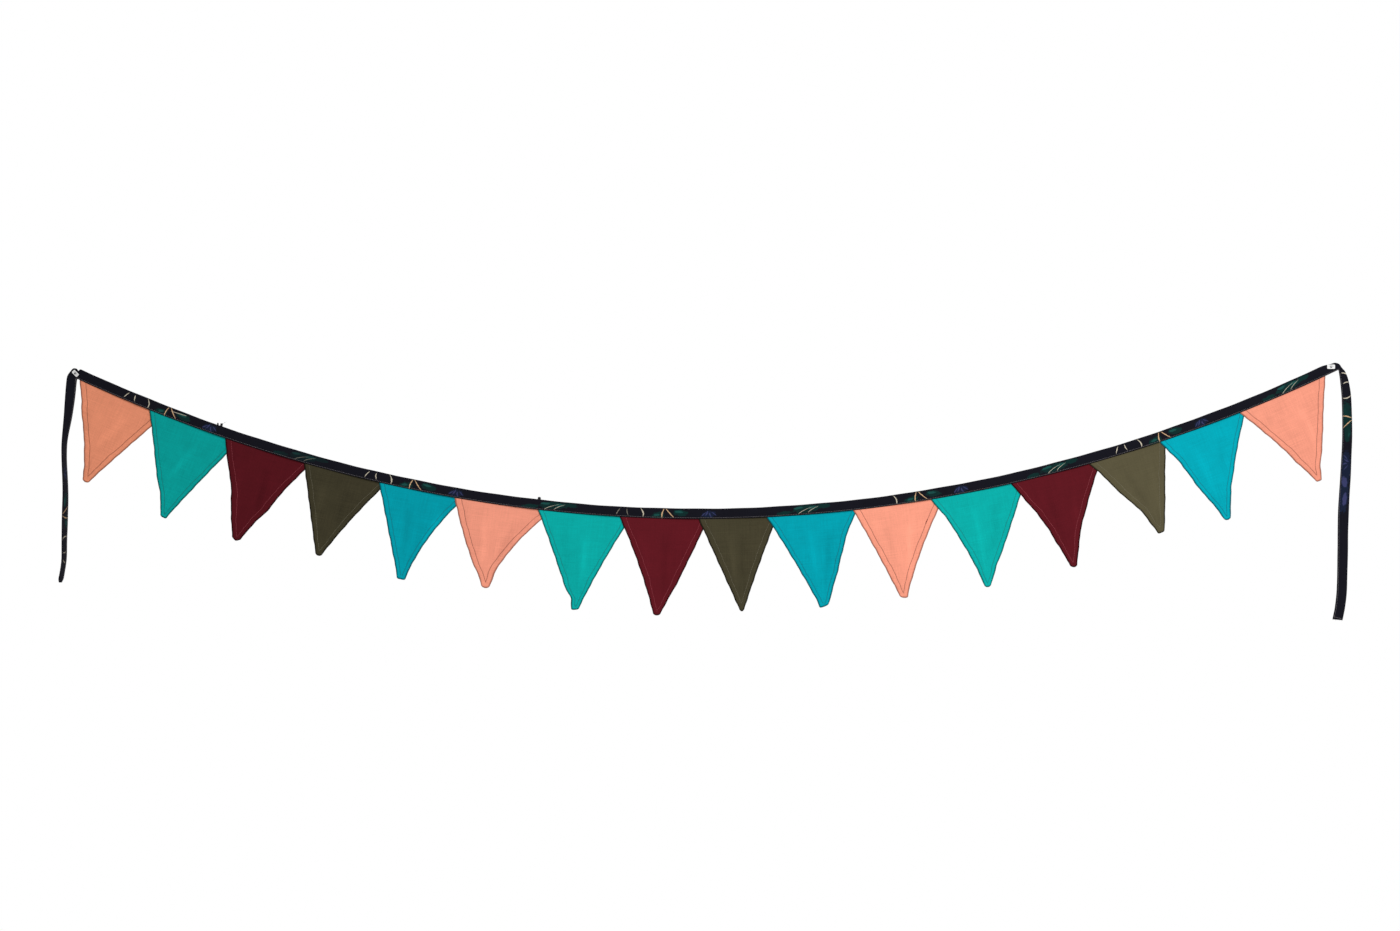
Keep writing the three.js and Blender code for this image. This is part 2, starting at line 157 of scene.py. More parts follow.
# %% Node helpers: feed a socket with a link or a value, and add a node with its inputs and settings


def feed(tree, socket, value):
    if isinstance(value, bpy.types.NodeSocket):
        tree.links.new(value, socket)
    elif value is not None:
        socket.default_value = value


def add_node(tree, kind, inputs=(), **settings):
    node = tree.nodes.new("ShaderNode" + kind)
    for name, setting in settings.items():
        setattr(node, name, setting)
    for socket, value in dict(inputs).items():
        feed(tree, node.inputs[socket], value)
    return node.outputs


print("a node is added by", add_node.__name__, "and fed by", feed.__name__)

# %% The nodes that are used most


def calc(tree, operation, *values):
    return add_node(tree, "Math", enumerate(values), operation=operation)[0]


def fade(tree, value, start, end, low=0.0, high=1.0):
    inputs = {"Value": value, "From Min": start, "From Max": end, "To Min": low, "To Max": high}
    return add_node(tree, "MapRange", inputs, interpolation_type="SMOOTHSTEP")["Result"]


def stretch(tree, vector, scale):
    return add_node(tree, "VectorMath", {0: vector, 1: scale}, operation="MULTIPLY")[0]


def noise(tree, vector, scale, detail=2.0, roughness=0.5):
    inputs = {"Vector": vector, "Scale": scale, "Detail": detail, "Roughness": roughness}
    return add_node(tree, "TexNoise", inputs)["Fac"]


def split(tree, vector):
    return add_node(tree, "SeparateXYZ", {0: vector})


def mark(tree, name):
    return add_node(tree, "Attribute", attribute_name=name)["Vector"]


def object_place(tree):
    return add_node(tree, "TexCoord")["Object"]


shorthands = [calc, fade, stretch, noise, split, mark, object_place]
print("short names for nodes:", ", ".join(helper.__name__ for helper in shorthands))

# %% Node helpers for colours: mix two, or brighten one by a value


def colour_socket(sockets, name):
    return [socket for socket in sockets if socket.name == name and socket.type == "RGBA"][0]


def mix_colour(tree, share, first, second, how="MIX"):
    outputs = add_node(tree, "Mix", {"Factor": share}, data_type="RGBA", blend_type=how)
    node = outputs[0].node
    feed(tree, colour_socket(node.inputs, "A"), first)
    feed(tree, colour_socket(node.inputs, "B"), second)
    return colour_socket(outputs, "Result")


def brighten(tree, colour, amount):
    grey = add_node(tree, "CombineColor", dict.fromkeys(("Red", "Green", "Blue"), amount))
    return mix_colour(tree, 1.0, colour, grey[0], "MULTIPLY")


print("colours are mixed by", mix_colour.__name__, "and", brighten.__name__)

# %% Node groups: a number among the inputs is a value socket with that number to start from
SOCKET_KINDS = {"vector": "NodeSocketVector", "value": "NodeSocketFloat", "colour": "NodeSocketColor"}


def new_group(name, inputs, outputs):
    tree = bpy.data.node_groups.new(name, "ShaderNodeTree")
    for socket_name, start in inputs.items():
        kind = SOCKET_KINDS.get(start, SOCKET_KINDS["value"])
        socket = tree.interface.new_socket(socket_name, in_out="INPUT", socket_type=kind)
        if start not in SOCKET_KINDS:
            socket.default_value = start
    for socket_name, kind in outputs.items():
        tree.interface.new_socket(socket_name, in_out="OUTPUT", socket_type=SOCKET_KINDS[kind])
    return tree, tree.nodes.new("NodeGroupInput").outputs, tree.nodes.new("NodeGroupOutput").inputs


def place_group(tree, group, **values):
    inputs = {name.replace("_", " "): value for name, value in values.items()}
    return add_node(tree, "Group", inputs, node_tree=group)


print("kinds of group sockets:", ", ".join(SOCKET_KINDS))

# %% [markdown]
# ## The cloth's shared effects
# Plain-weave cotton shows three things at different sizes: single threads crossing over and under, thicker
# threads that run as faint streaks, and dye that took unevenly in clouds. A fourth is painted shade: the
# colour is darkened where the cloth rolls over the rim, and a painted shadow runs along the pulled-in stitch
# line. Each is a group with named sockets.

# %% Plain weave: crossing threads and slubs
SLUB_ACROSS = 0.9
SLUB_ALONG = 0.02
SLUB_SHADE = 0.32
THREAD_SHADE = 0.1


def weave_group():
    inputs = {"Cloth": "vector", "Pitch": 0.7}
    tree, given, result = new_group("plain weave", inputs, {"Height": "value", "Shade": "value"})
    across, down, _ = split(tree, given["Cloth"])
    turn = calc(tree, "DIVIDE", 2.0 * np.pi, given["Pitch"])
    warp = calc(tree, "SINE", calc(tree, "MULTIPLY", across, turn))
    weft = calc(tree, "SINE", calc(tree, "MULTIPLY", down, turn))
    over = calc(tree, "MULTIPLY_ADD", calc(tree, "MULTIPLY", warp, weft), 0.5, 0.5)
    warp_slub = noise(tree, stretch(tree, given["Cloth"], (SLUB_ACROSS, SLUB_ALONG, 0.0)), 1.0)
    weft_slub = noise(tree, stretch(tree, given["Cloth"], (SLUB_ALONG, SLUB_ACROSS, 0.0)), 1.0)
    slub = calc(tree, "SUBTRACT", calc(tree, "ADD", warp_slub, weft_slub), 1.0)
    feed(tree, result["Height"], calc(tree, "ADD", over, slub))
    streaks = calc(tree, "MULTIPLY", slub, SLUB_SHADE)
    feed(tree, result["Shade"], calc(tree, "MULTIPLY_ADD", over, THREAD_SHADE, streaks))
    return tree


WEAVE = weave_group()
print("group:", WEAVE.name)

# %% Uneven dye: soft clouds over the cloth
CLOUD_SCALE = 0.035
SPECK_SCALE = 0.4
SPECK_SHARE = 0.5
CLOTH_ROUGHNESS = 0.88
ROUGHNESS_CHANGE = 0.12


def dye_group():
    inputs = {"Cloth": "vector", "Dye": "colour", "Shade": 0.0, "Depth": 0.12}
    tree, given, result = new_group("uneven dye", inputs, {"Colour": "colour", "Roughness": "value"})
    clouds = calc(tree, "SUBTRACT", noise(tree, given["Cloth"], CLOUD_SCALE, 3.0, 0.6), 0.5)
    specks = calc(tree, "SUBTRACT", noise(tree, given["Cloth"], SPECK_SCALE, 2.0), 0.5)
    together = calc(tree, "MULTIPLY_ADD", specks, SPECK_SHARE, clouds)
    light = calc(tree, "MULTIPLY_ADD", together, given["Depth"], 1.0)
    feed(tree, result["Colour"], brighten(tree, given["Dye"], calc(tree, "ADD", light, given["Shade"])))
    roughness = calc(tree, "MULTIPLY_ADD", together, ROUGHNESS_CHANGE, CLOTH_ROUGHNESS)
    feed(tree, result["Roughness"], roughness)
    return tree


DYE = dye_group()
print("group:", DYE.name)

# %% Seam shade: painted shade on the rolled rim and a painted shadow along the pulled-in stitch line
RIM_DARK_FROM_TO = (1.0, 3.6)
LINE_DARK_FROM_TO = (0.2, 1.1)


def seam_group():
    inputs = {"Colour": "colour", "Rim": 10.0, "Line": 10.0, "Rim shade": 0.4, "Line shade": 0.2}
    tree, given, result = new_group("seam shade", inputs, {"Colour": "colour"})
    at_rim = fade(tree, given["Rim"], *RIM_DARK_FROM_TO, 1.0, 0.0)
    at_line = fade(tree, given["Line"], *LINE_DARK_FROM_TO, 1.0, 0.0)
    # painted shade at the rim and a painted shadow along the stitch line, both darkened into the colour
    rolled = calc(tree, "MULTIPLY", at_rim, given["Rim shade"])
    pulled = calc(tree, "MULTIPLY", at_line, given["Line shade"])
    light = calc(tree, "SUBTRACT", calc(tree, "SUBTRACT", 1.0, rolled), pulled)
    feed(tree, result["Colour"], brighten(tree, given["Colour"], light))
    return tree


SEAM = seam_group()
print("group:", SEAM.name)

# %% [markdown]
# ## Dyed cotton
# The pennants are plain dyed cotton in five colours. One function builds the finish and takes the dye, so
# the five differ only in colour and in how dark the painted shade at their rims and stitch lines is. Cotton
# has almost no gloss, so the specular level is low, and a little sheen stands for the loose fibres on its
# face. The first peach pennant gets a more orange dye of its own.

# %% The five cottons: dye, thread, and how dark the painted shade at the rim and the stitch line is
Cotton = namedtuple("Cotton", "dye thread rim_shade line_shade")
COTTONS = {
    "peach": Cotton((0.84, 0.305, 0.205), (0.26, 0.07, 0.045), 0.6, 0.42),
    "green_teal": Cotton((0.002, 0.385, 0.36), (0.02, 0.11, 0.105), 0.72, 0.24),
    "maroon": Cotton((0.1, 0.0075, 0.0125), (0.4, 0.075, 0.1), 0.78, 0.0),
    "olive": Cotton((0.082, 0.071, 0.038), (0.2, 0.183, 0.132), 0.78, 0.0),
    "blue_teal": Cotton((0.0, 0.36, 0.445), (0.01, 0.11, 0.15), 0.72, 0.26),
}
# the first peach pennant's own dye, more orange than the other peach pennants
FIRST_PEACH_DYE = (0.845, 0.296, 0.168)
print("cottons:", ", ".join(COTTONS))

# %% The finish of a cotton
BUMP_STRENGTH = 0.6
COTTON_SPECULAR = 0.05
COTTON_SHEEN = 0.015
COTTON_PITCH = 0.7
COTTON_CLOUDS = 0.22
COTTON_RELIEF = 0.12


def new_material(name, specular, sheen=0.0):
    material = bpy.data.materials.new(name)
    material.use_nodes = True
    tree = material.node_tree
    shader = tree.nodes["Principled BSDF"]
    shader.inputs["Specular IOR Level"].default_value = specular
    shader.inputs["Sheen Weight"].default_value = sheen
    return material, tree, shader.inputs


def raise_surface(tree, shader, height, depth):
    inputs = {"Strength": BUMP_STRENGTH, "Distance": depth * MM, "Height": height}
    feed(tree, shader["Normal"], add_node(tree, "Bump", inputs)[0])


def cotton_material(name, cotton):
    material, tree, shader = new_material(name + " cotton", COTTON_SPECULAR, COTTON_SHEEN)
    cloth = mark(tree, "cloth")
    # the seam mark holds the rim distance, the stitch line distance, and the tone with the painted crease
    # shade
    rim, line, tone = split(tree, mark(tree, "seam"))
    weave = place_group(tree, WEAVE, Cloth=cloth, Pitch=COTTON_PITCH)
    shade = calc(tree, "ADD", weave["Shade"], tone)
    dyed = place_group(tree, DYE, Cloth=cloth, Dye=(*cotton.dye, 1.0), Shade=shade, Depth=COTTON_CLOUDS)
    # painted shade on the rolled rim and a painted shadow along the stitch line
    edges = {"Rim": rim, "Line": line, "Rim_shade": cotton.rim_shade, "Line_shade": cotton.line_shade}
    seam = place_group(tree, SEAM, Colour=dyed["Colour"], **edges)
    feed(tree, shader["Base Color"], seam["Colour"])
    feed(tree, shader["Roughness"], dyed["Roughness"])
    raise_surface(tree, shader, weave["Height"], COTTON_RELIEF)
    return material


COTTON_FINISH = {name: cotton_material(name, cotton) for name, cotton in COTTONS.items()}
FIRST_PEACH_FINISH = cotton_material("deep peach", COTTONS["peach"]._replace(dye=FIRST_PEACH_DYE))
print("cotton finishes:", len(COTTON_FINISH), "and", FIRST_PEACH_FINISH.name)

# %% [markdown]
# ## The pennants' pattern
# Each pennant was cut by hand, sewn as two triangles, turned, pressed and stitched again near its sides, so
# no two are alike. The table holds one row for each: where it hangs, its corners and tip along the tape, its
# drop, its blunt tip, the bow of its sides, how its tip leans and where one soft fold stands out. Two more
# tables hold what only some of them have: another tone, and a tip cut straight, pointed or at a slant.

# %% One row for each pennant
Flag = namedtuple("Flag", "colour at left right tip drop tip_half left_bow right_bow lean fold_at fold")
FLAGS = [
    Flag("peach", -1034.0, -61.0, 97.0, 16.0, 159.5, 8.0, -5.5, -1.0, -3.0, 30.0, -1.6),
    Flag("green_teal", -903.5, -70.0, 94.5, 18.0, 167.0, 7.0, -0.5, -1.5, -4.0, -6.0, -1.8),
    Flag("maroon", -769.5, -70.0, 85.0, 1.0, 164.5, 8.0, 0.0, -3.5, -2.0, 22.0, -2.0),
    Flag("olive", -636.0, -64.5, 83.0, 0.0, 150.0, 6.5, 0.0, -3.5, 1.0, -14.0, -2.2),
    Flag("blue_teal", -502.5, -66.0, 83.5, 5.0, 158.0, 7.7, 0.0, -9.5, -3.0, 10.0, 2.4),
    Flag("peach", -362.0, -73.5, 97.0, 1.0, 147.5, 7.0, 4.5, -13.0, -5.0, -20.0, -2.4),
    Flag("green_teal", -214.5, -74.5, 88.0, 4.0, 168.0, 7.5, -1.5, -3.0, 1.5, 16.0, -1.8),
    Flag("maroon", -71.0, -75.0, 79.0, -6.0, 170.0, 7.0, -4.0, 2.5, -2.0, 0.0, 2.0),
    Flag("olive", 58.0, -66.0, 71.5, 5.2, 163.0, 4.8, 0.0, -1.5, 2.0, -8.0, -2.6),
    Flag("blue_teal", 192.5, -81.0, 76.5, 5.0, 163.0, 8.0, -2.0, -3.0, -3.0, 12.0, 2.6),
    Flag("peach", 337.0, -75.0, 84.5, -8.5, 163.0, 7.5, -1.5, -5.0, 1.0, -4.0, -1.8),
    Flag("green_teal", 480.5, -83.5, 84.0, -15.5, 168.5, 6.5, -7.0, 1.5, -4.0, 6.0, 2.2),
    Flag("maroon", 622.0, -85.0, 76.5, -16.0, 167.5, 7.0, -7.0, -6.5, -2.0, -24.0, -2.0),
    Flag("olive", 749.0, -76.5, 63.5, 6.5, 151.5, 6.0, -5.0, 1.0, -3.0, 14.0, -2.0),
    Flag("blue_teal", 880.0, -86.0, 74.5, -21.5, 167.5, 6.5, -3.0, -6.0, -4.0, -10.0, -1.8),
    Flag("peach", 1023.5, -91.0, 72.0, -11.5, 163.5, 6.0, -3.5, -1.0, -3.0, -26.0, -1.4),
]
INSERT = 11.0
print("pennants:", len(FLAGS), "each taken", INSERT, "mm into the tape")

# %% Pennants that are faded or darker than the rest of their cloth
TONES = {
    1: -0.04,
    2: -0.14,
    3: -0.13,
    4: -0.47,
    5: -0.13,
    6: 0.02,
    8: 0.1,
    9: -0.35,
    10: -0.09,
    11: 0.06,
    14: 0.11,
    15: -0.03,
    16: -0.05,
}
OWN_DYE_FLAGS = {1}
print("pennants with a tone of their own:", len(TONES))

# %% Tips that are not plainly round: how square, and how much lower the right end is
TIP_ROUNDING = 5.0
ROUND_TIP = (2.0, 0.0)
TIPS = {
    2: (3.0, 1.5),
    3: (1.25, 0.0),
    5: (3.6, 0.0),
    7: (3.0, -2.5),
    9: (1.6, 0.0),
    10: (3.0, -5.0),
    11: (2.4, 3.5),
    13: (1.8, 2.0),
    14: (3.4, -1.2),
    16: (3.4, 0.6),
}
print("tips cut straight, pointed or slanted:", len(TIPS))

# %% [markdown]
# ## Creases and kinks
# Pressed cotton keeps a few marks: soft troughs and ridges that run down from the tape or along a seam, and
# small kinks where scissors or needle changed direction. They are placed one by one, each with its own
# length, width and height, because evenly spread wrinkles would look like a machine's.

# %% Creases: pennant, start and end on the cloth, half width, height towards the wall
CREASES = [
    (1, 38.0, 18.0, 8.0, 96.0, 6.0, -1.2),
    (1, -30.0, 30.0, -22.0, 120.0, 7.0, 0.6),
    (2, 30.0, 26.0, -2.0, 104.0, 5.0, -1.5),
    (2, -52.0, 24.0, -30.0, 92.0, 6.0, 0.7),
    (3, 14.0, 20.0, 18.0, 110.0, 7.0, 1.4),
    (3, -34.0, 40.0, -14.0, 128.0, 6.0, -1.0),
    (4, -24.0, 12.0, -20.0, 104.0, 6.0, -1.2),
    (4, 26.0, 16.0, 10.0, 92.0, 5.0, 0.8),
    (5, 52.0, 26.0, 22.0, 100.0, 5.0, -1.7),
    (5, -8.0, 8.0, -2.0, 116.0, 6.0, 1.2),
    (6, -18.0, 10.0, -12.0, 100.0, 5.0, -1.2),
    (6, 40.0, 22.0, 12.0, 104.0, 6.0, 1.4),
    (7, -30.0, 14.0, -20.0, 108.0, 7.0, 1.0),
    (7, 12.0, 30.0, 8.0, 130.0, 6.0, -1.2),
    (8, 4.0, 22.0, 2.0, 132.0, 6.0, 1.2),
    (8, -40.0, 26.0, -22.0, 96.0, 6.0, -1.0),
    (9, -14.0, 6.0, -6.0, 118.0, 4.5, -1.4),
    (9, 10.0, 6.0, 8.0, 124.0, 5.0, 1.2),
    (10, -10.0, 8.0, -4.0, 104.0, 5.0, -1.2),
    (10, 24.0, 30.0, 12.0, 120.0, 6.0, 1.4),
    (11, -26.0, 12.0, -18.0, 96.0, 6.0, 1.0),
    (11, 22.0, 22.0, 6.0, 118.0, 6.0, -1.0),
    (12, -14.0, 8.0, -14.0, 134.0, 4.5, -1.4),
    (12, 30.0, 18.0, 6.0, 104.0, 6.0, 1.2),
    (13, -30.0, 20.0, -22.0, 118.0, 6.0, 1.2),
    (13, 20.0, 24.0, 0.0, 120.0, 6.0, -1.0),
    (14, -26.0, 18.0, -4.0, 100.0, 6.0, 1.4),
    (14, 24.0, 12.0, 16.0, 112.0, 5.0, -1.2),
    (15, -34.0, 20.0, -26.0, 122.0, 6.0, -1.2),
    (15, 16.0, 16.0, -2.0, 112.0, 6.0, 0.6),
    (16, -36.0, 16.0, -20.0, 104.0, 6.0, 0.6),
    (16, 12.0, 14.0, 6.0, 118.0, 6.0, -1.0),
]
print("creases:", len(CREASES))

# %% Kinks: pennant, side, place down the side, reach, shift outwards
KINKS = [
    (1, "left", 0.0, 18.0, 2.2),
    (1, "left", 50.0, 30.0, 4.0),
    (1, "left", 138.0, 20.0, -2.0),
    (1, "left", 156.0, 8.0, -1.5),
    (2, "left", 132.0, 20.0, -3.2),
    (3, "left", 76.0, 32.0, -4.0),
    (3, "right", 100.0, 28.0, 4.0),
    (3, "right", 120.0, 16.0, -1.4),
    (6, "left", 128.0, 12.0, -1.8),
    (6, "right", 108.0, 9.0, -1.4),
    (6, "right", 136.0, 11.0, 1.5),
    (7, "left", 148.0, 11.0, -4.2),
    (8, "right", 110.0, 12.0, 1.0),
    (10, "right", 36.0, 16.0, -2.2),
    (10, "right", 110.0, 30.0, 3.0),
    (10, "right", 150.0, 14.0, 2.2),
    (12, "left", 38.0, 24.0, -1.6),
    (12, "right", 132.0, 12.0, -1.4),
    (13, "left", 30.0, 16.0, 1.4),
    (13, "left", 118.0, 12.0, 1.4),
    (13, "right", 104.0, 20.0, -1.8),
    (14, "left", 52.0, 14.0, 1.0),
    (14, "left", 62.0, 32.0, 2.0),
    (14, "left", 104.0, 16.0, -2.4),
    (14, "right", 96.0, 22.0, 1.4),
    (14, "right", 120.0, 14.0, 1.4),
    (14, "right", 140.0, 12.0, 2.2),
    (15, "left", 40.0, 22.0, -2.0),
    (15, "left", 100.0, 22.0, 2.2),
    (15, "right", 116.0, 12.0, -1.6),
    (16, "left", 120.0, 20.0, 1.8),
    (16, "right", 90.0, 28.0, 1.0),
    (16, "right", 138.0, 10.0, -2.0),
]
print("kinks:", len(KINKS))

# %% [markdown]
# ## The pennants' surface
# A sheet is two things: where its middle runs, and how thick it is. Its middle follows the tape's slot at
# the top, and lower down it leans, folds and creases. Its thickness tells how it was sewn: thin at the
# rolled rim, plump over the hidden seam allowance, pulled in along the stitch line, thin again inside. The
# stitch line comes nearer to the sides towards the tip, and turns there.

# %% The sides of a pennant: a straight side, its bow, a small wobble of the scissors, and its kinks


def wave(place, height, length, shift):
    return height * np.sin(place / length + shift)


def hump(value, middle, reach):
    return np.exp(-(((value - middle) / reach) ** 2))


def flag_sides(flag, number, down):
    share = np.clip(down, 0.0, None) / (flag.drop - TIP_ROUNDING)
    bulge = 4.0 * share * (1.0 - share)
    wobble = wave(down, 0.3, 5.3, 1.7 * number) + wave(down, 0.2, 2.7, 2.3 * number)
    left = blend(flag.left, flag.tip - flag.tip_half, share) - flag.left_bow * bulge + wobble
    right = blend(flag.right, flag.tip + flag.tip_half, share) + flag.right_bow * bulge - 0.8 * wobble
    for kinked, side, place, reach, shift in KINKS:
        if kinked == number:
            push = shift * hump(down, place, reach)
            left = left - push * (side == "left")
            right = right + push * (side == "right")
    return left, right


first_left, first_right = flag_sides(FLAGS[0], 1, 0.5 * FLAGS[0].drop)
print("first pennant half way down:", round(first_right - first_left, 1), "mm wide")

# %% Distances from the sides, and of the stitch line from them
SEAM_IN = 9.4
SEAM_SPREAD = 1.3
TIP_NARROWING = 0.22
NARROWS_FROM = 60.0
NARROWS_TO = 12.0


def side_cosines(flag):
    left_run = (flag.tip - flag.tip_half - flag.left) / flag.drop
    right_run = (flag.tip + flag.tip_half - flag.right) / flag.drop
    return 1.0 / np.hypot(1.0, left_run), 1.0 / np.hypot(1.0, right_run)


def rim_distances(flag, number, across, down):
    left, right = flag_sides(flag, number, down)
    left_cos, right_cos = side_cosines(flag)
    return (across - left) * left_cos, (right - across) * right_cos


def sewn_edge_distance(flag, number, across, down):
    from_left, from_right = rim_distances(flag, number, across, down)
    return np.minimum(np.minimum(from_left, from_right), flag.drop - down)


def own_seam(number):
    return SEAM_IN + SEAM_SPREAD * np.sin(2.4 * number)


def seam_distance(number, down):
    drop = FLAGS[number - 1].drop
    narrowed = 1.0 - TIP_NARROWING * ease(down, drop - NARROWS_FROM, drop - NARROWS_TO)
    return own_seam(number) * narrowed + wave(down, 0.5, 21.0, 1.3 * number) + wave(down, 0.25, 8.0, number)


print("stitch line of the first pennant:", round(own_seam(1), 1), "mm inside its sides")

# %% Creases, ripples and the pucker of the seams
CREASE_STARTS = (-0.15, 0.25)
CREASE_ENDS = (0.7, 1.2)
PUCKER_HEIGHT = 0.2
PUCKER_PLACE = 0.7
PUCKER_REACH = 5.0


def crease_depth(number, across, down):
    depth = np.zeros_like(across)
    for creased, u0, v0, u1, v1, half_width, height in CREASES:
        if creased == number:
            run = np.array([u1 - u0, v1 - v0])
            length = np.hypot(*run)
            share = ((across - u0) * run[0] + (down - v0) * run[1]) / length**2
            away = ((across - u0) * run[1] - (down - v0) * run[0]) / length
            ends = ease(share, *CREASE_STARTS) * (1.0 - ease(share, *CREASE_ENDS))
            depth = depth + height * ends * hump(away, 0.0, half_width)
    return depth


def ripple_depth(number, across, down):
    slow = wave(across, 0.35, 13.0, 2.1 * number) * wave(down, 1.0, 17.0, 1.1 * number)
    return slow + wave(across + 0.6 * down, 0.2, 8.5, 0.7 * number)


def pucker_depth(flag, number, across, down):
    from_left, from_right = rim_distances(flag, number, across, down)
    near_seam = hump(np.minimum(from_left, from_right), PUCKER_PLACE * SEAM_IN, PUCKER_REACH)
    shift = wave(down, 1.0, 7.0, number) + 2.0 * (from_left < from_right)
    return near_seam * wave(down, PUCKER_HEIGHT, 1.7, shift)


print("deepest crease:", max(abs(row[-1]) for row in CREASES), "mm")

# %% The middle surface of a pennant
SHINGLE_OFFSET = 0.8
SHINGLE_FLAT = 36.0
FOLD_HALF_WIDTH = 24.0
LOOSE_FROM_TO = (18.0, 80.0)
CREASED_FROM_TO = (14.0, 46.0)


def shingle(flag, number, across):
    front = 0.0 if number == 1 else SHINGLE_OFFSET
    back = 0.0 if number == len(FLAGS) else SHINGLE_OFFSET
    return blend(-front, back, ease(across, flag.left + SHINGLE_FLAT, flag.right - SHINGLE_FLAT))


def flag_middle(flag, number, across, down):
    origin, right, hang = hang_frame(flag.at)
    x = origin[0] + across * right[0] + down * hang[0]
    z = origin[1] + across * right[1] + down * hang[1]
    lean = flag.lean * (down / flag.drop) ** 2
    fold = flag.fold * hump(across, flag.fold_at, FOLD_HALF_WIDTH)
    soft = lean + fold + ripple_depth(number, across, down)
    marks = crease_depth(number, across, down) + pucker_depth(flag, number, across, down)
    held = middle_depth(x) + shingle(flag, number, across)
    y = held + ease(down, *LOOSE_FROM_TO) * soft + ease(down, *CREASED_FROM_TO) * marks
    return np.stack([x, y, z], axis=-1)


tip_depth = flag_middle(FLAGS[0], 1, np.array(FLAGS[0].tip), np.array(FLAGS[0].drop))[1]
print("tip of the first pennant:", round(-tip_depth, 1), "mm off the wall")

# %% Thickness from the rim inwards
SEWN_FROM_LINE = [-9.0, -7.0, -3.0, -1.4, -0.7, 0.0, 0.7, 1.5, 4.0, 12.0]
SEWN_HALF = [0.52, 0.62, 0.66, 0.58, 0.46, 0.38, 0.44, 0.5, 0.48, 0.45]
RIM_ROUNDING = 0.8


def flag_half(flag, number, across, down, rim):
    from_line = sewn_edge_distance(flag, number, across, down) - seam_distance(number, down)
    rounded = 1.0 - np.clip(rim / RIM_ROUNDING, 0.0, 1.0)
    return np.interp(from_line, SEWN_FROM_LINE, SEWN_HALF) * np.sqrt(1.0 - rounded**2)


print("thickness at the stitch line and over the seam:", 2.0 * min(SEWN_HALF), 2.0 * max(SEWN_HALF), "mm")

# %% [markdown]
# ## Sewing the pennants
# Columns of points are set close together at the rim and at the stitch line, where the shape changes fast,
# and wide apart in the middle. Front and back share their rim points, so each pennant is one closed, rounded
# sheet with no cut edge.

# %% The grid of one pennant
RIM_COLUMNS = [0.0, 0.15, 0.45, 0.9, 1.8, 3.4]
SEAM_COLUMNS = [-3.2, -1.6, -0.8, -0.3, 0.3, 0.8, 1.6, 3.2]
MIDDLE_COLUMNS = 14
MIDDLE_LEAST = 0.9
TOP_ROWS = 6
MAIN_ROWS = 100
TIP_FROM = 6.0
TIP_REACH = 12.0
TIP_ROWS = np.array([4.8, 3.6, 2.6, 1.8, 1.1, 0.6, 0.25, 0.0])


def column_shares(width, number):
    columns = np.array(RIM_COLUMNS + [own_seam(number) + away for away in SEAM_COLUMNS])
    least = 2.0 * columns[-1] + MIDDLE_COLUMNS * MIDDLE_LEAST
    squeeze = np.minimum(width / least, 1.0)
    edge = columns[None, :] * squeeze[:, None] / width[:, None]
    middle = np.linspace(0.0, 1.0, MIDDLE_COLUMNS + 1)[1:-1]
    inner = blend(edge[:, -1:], 1.0 - edge[:, -1:], middle[None, :])
    return np.concatenate([edge, inner, 1.0 - edge[:, ::-1]], axis=1)


def flag_grid(flag, number):
    side_drop = flag.drop - TIP_ROUNDING
    top = np.linspace(-INSERT, 0.0, TOP_ROWS)
    main = np.linspace(0.0, side_drop - TIP_FROM, MAIN_ROWS)[1:]
    rows = np.concatenate([top, main, side_drop - TIP_ROWS])
    left, right = flag_sides(flag, number, rows)
    shares = column_shares(right - left, number)
    across = blend(left[:, None], right[:, None], shares)
    square, slant = TIPS.get(number, ROUND_TIP)
    from_middle = np.clip(np.abs(2.0 * shares - 1.0), 0.0, 1.0)
    dip = TIP_ROUNDING * (1.0 - from_middle**square) ** (1.0 / square) + slant * (shares - 0.5)
    reach = np.clip((rows - (side_drop - TIP_REACH)) / TIP_REACH, 0.0, 1.0) ** 2
    down = rows[:, None] + dip * reach[:, None]
    from_left, from_right = rim_distances(flag, number, across, rows[:, None] + 0.0 * across)
    below = side_drop + dip - down
    rim = np.minimum(np.minimum(from_left, from_right), np.minimum(below, rows[:, None] + INSERT))
    return across, down, np.clip(rim, 0.0, None)


print("points in one face of a pennant:", flag_grid(FLAGS[0], 1)[0].size)

# %% A sheet of two faces that share their rim
TOWARDS_VIEWER = np.array([0.0, -1.0, 0.0])


def rim_is_shared(shape):
    shared = np.zeros(shape, dtype=bool)
    shared[0, :] = shared[-1, :] = True
    shared[:, 0] = shared[:, -1] = True
    return shared


def sheet_faces(front, back):
    a, b, c, d = front[:-1, :-1], front[:-1, 1:], front[1:, 1:], front[1:, :-1]
    facing = np.stack([a, d, c, b], axis=-1).reshape(-1, 4)
    a, b, c, d = back[:-1, :-1], back[:-1, 1:], back[1:, 1:], back[1:, :-1]
    behind = np.stack([a, b, c, d], axis=-1).reshape(-1, 4)
    return np.concatenate([facing, behind])


def both_faces(front, back, shared):
    return np.concatenate([front.reshape(-1, 3), back[~shared]])


print("rim points that the faces of a sheet of 4 by 5 points share:", rim_is_shared((4, 5)).sum())

# %% What a pennant tells its finish, and its layout with the two faces side by side
# painted shade in crease troughs and painted light on crease ridges, for each mm of crease height
CREASE_PAINTED_SHADE = 0.08
CLOTH_STEP = np.array([0.0, 0.0, 37.0])
BEHIND_STEP = np.array([400.0, 0.0, 0.0])
LAYOUT_EDGE = 0.02
LAYOUT_WIDE = 2.2


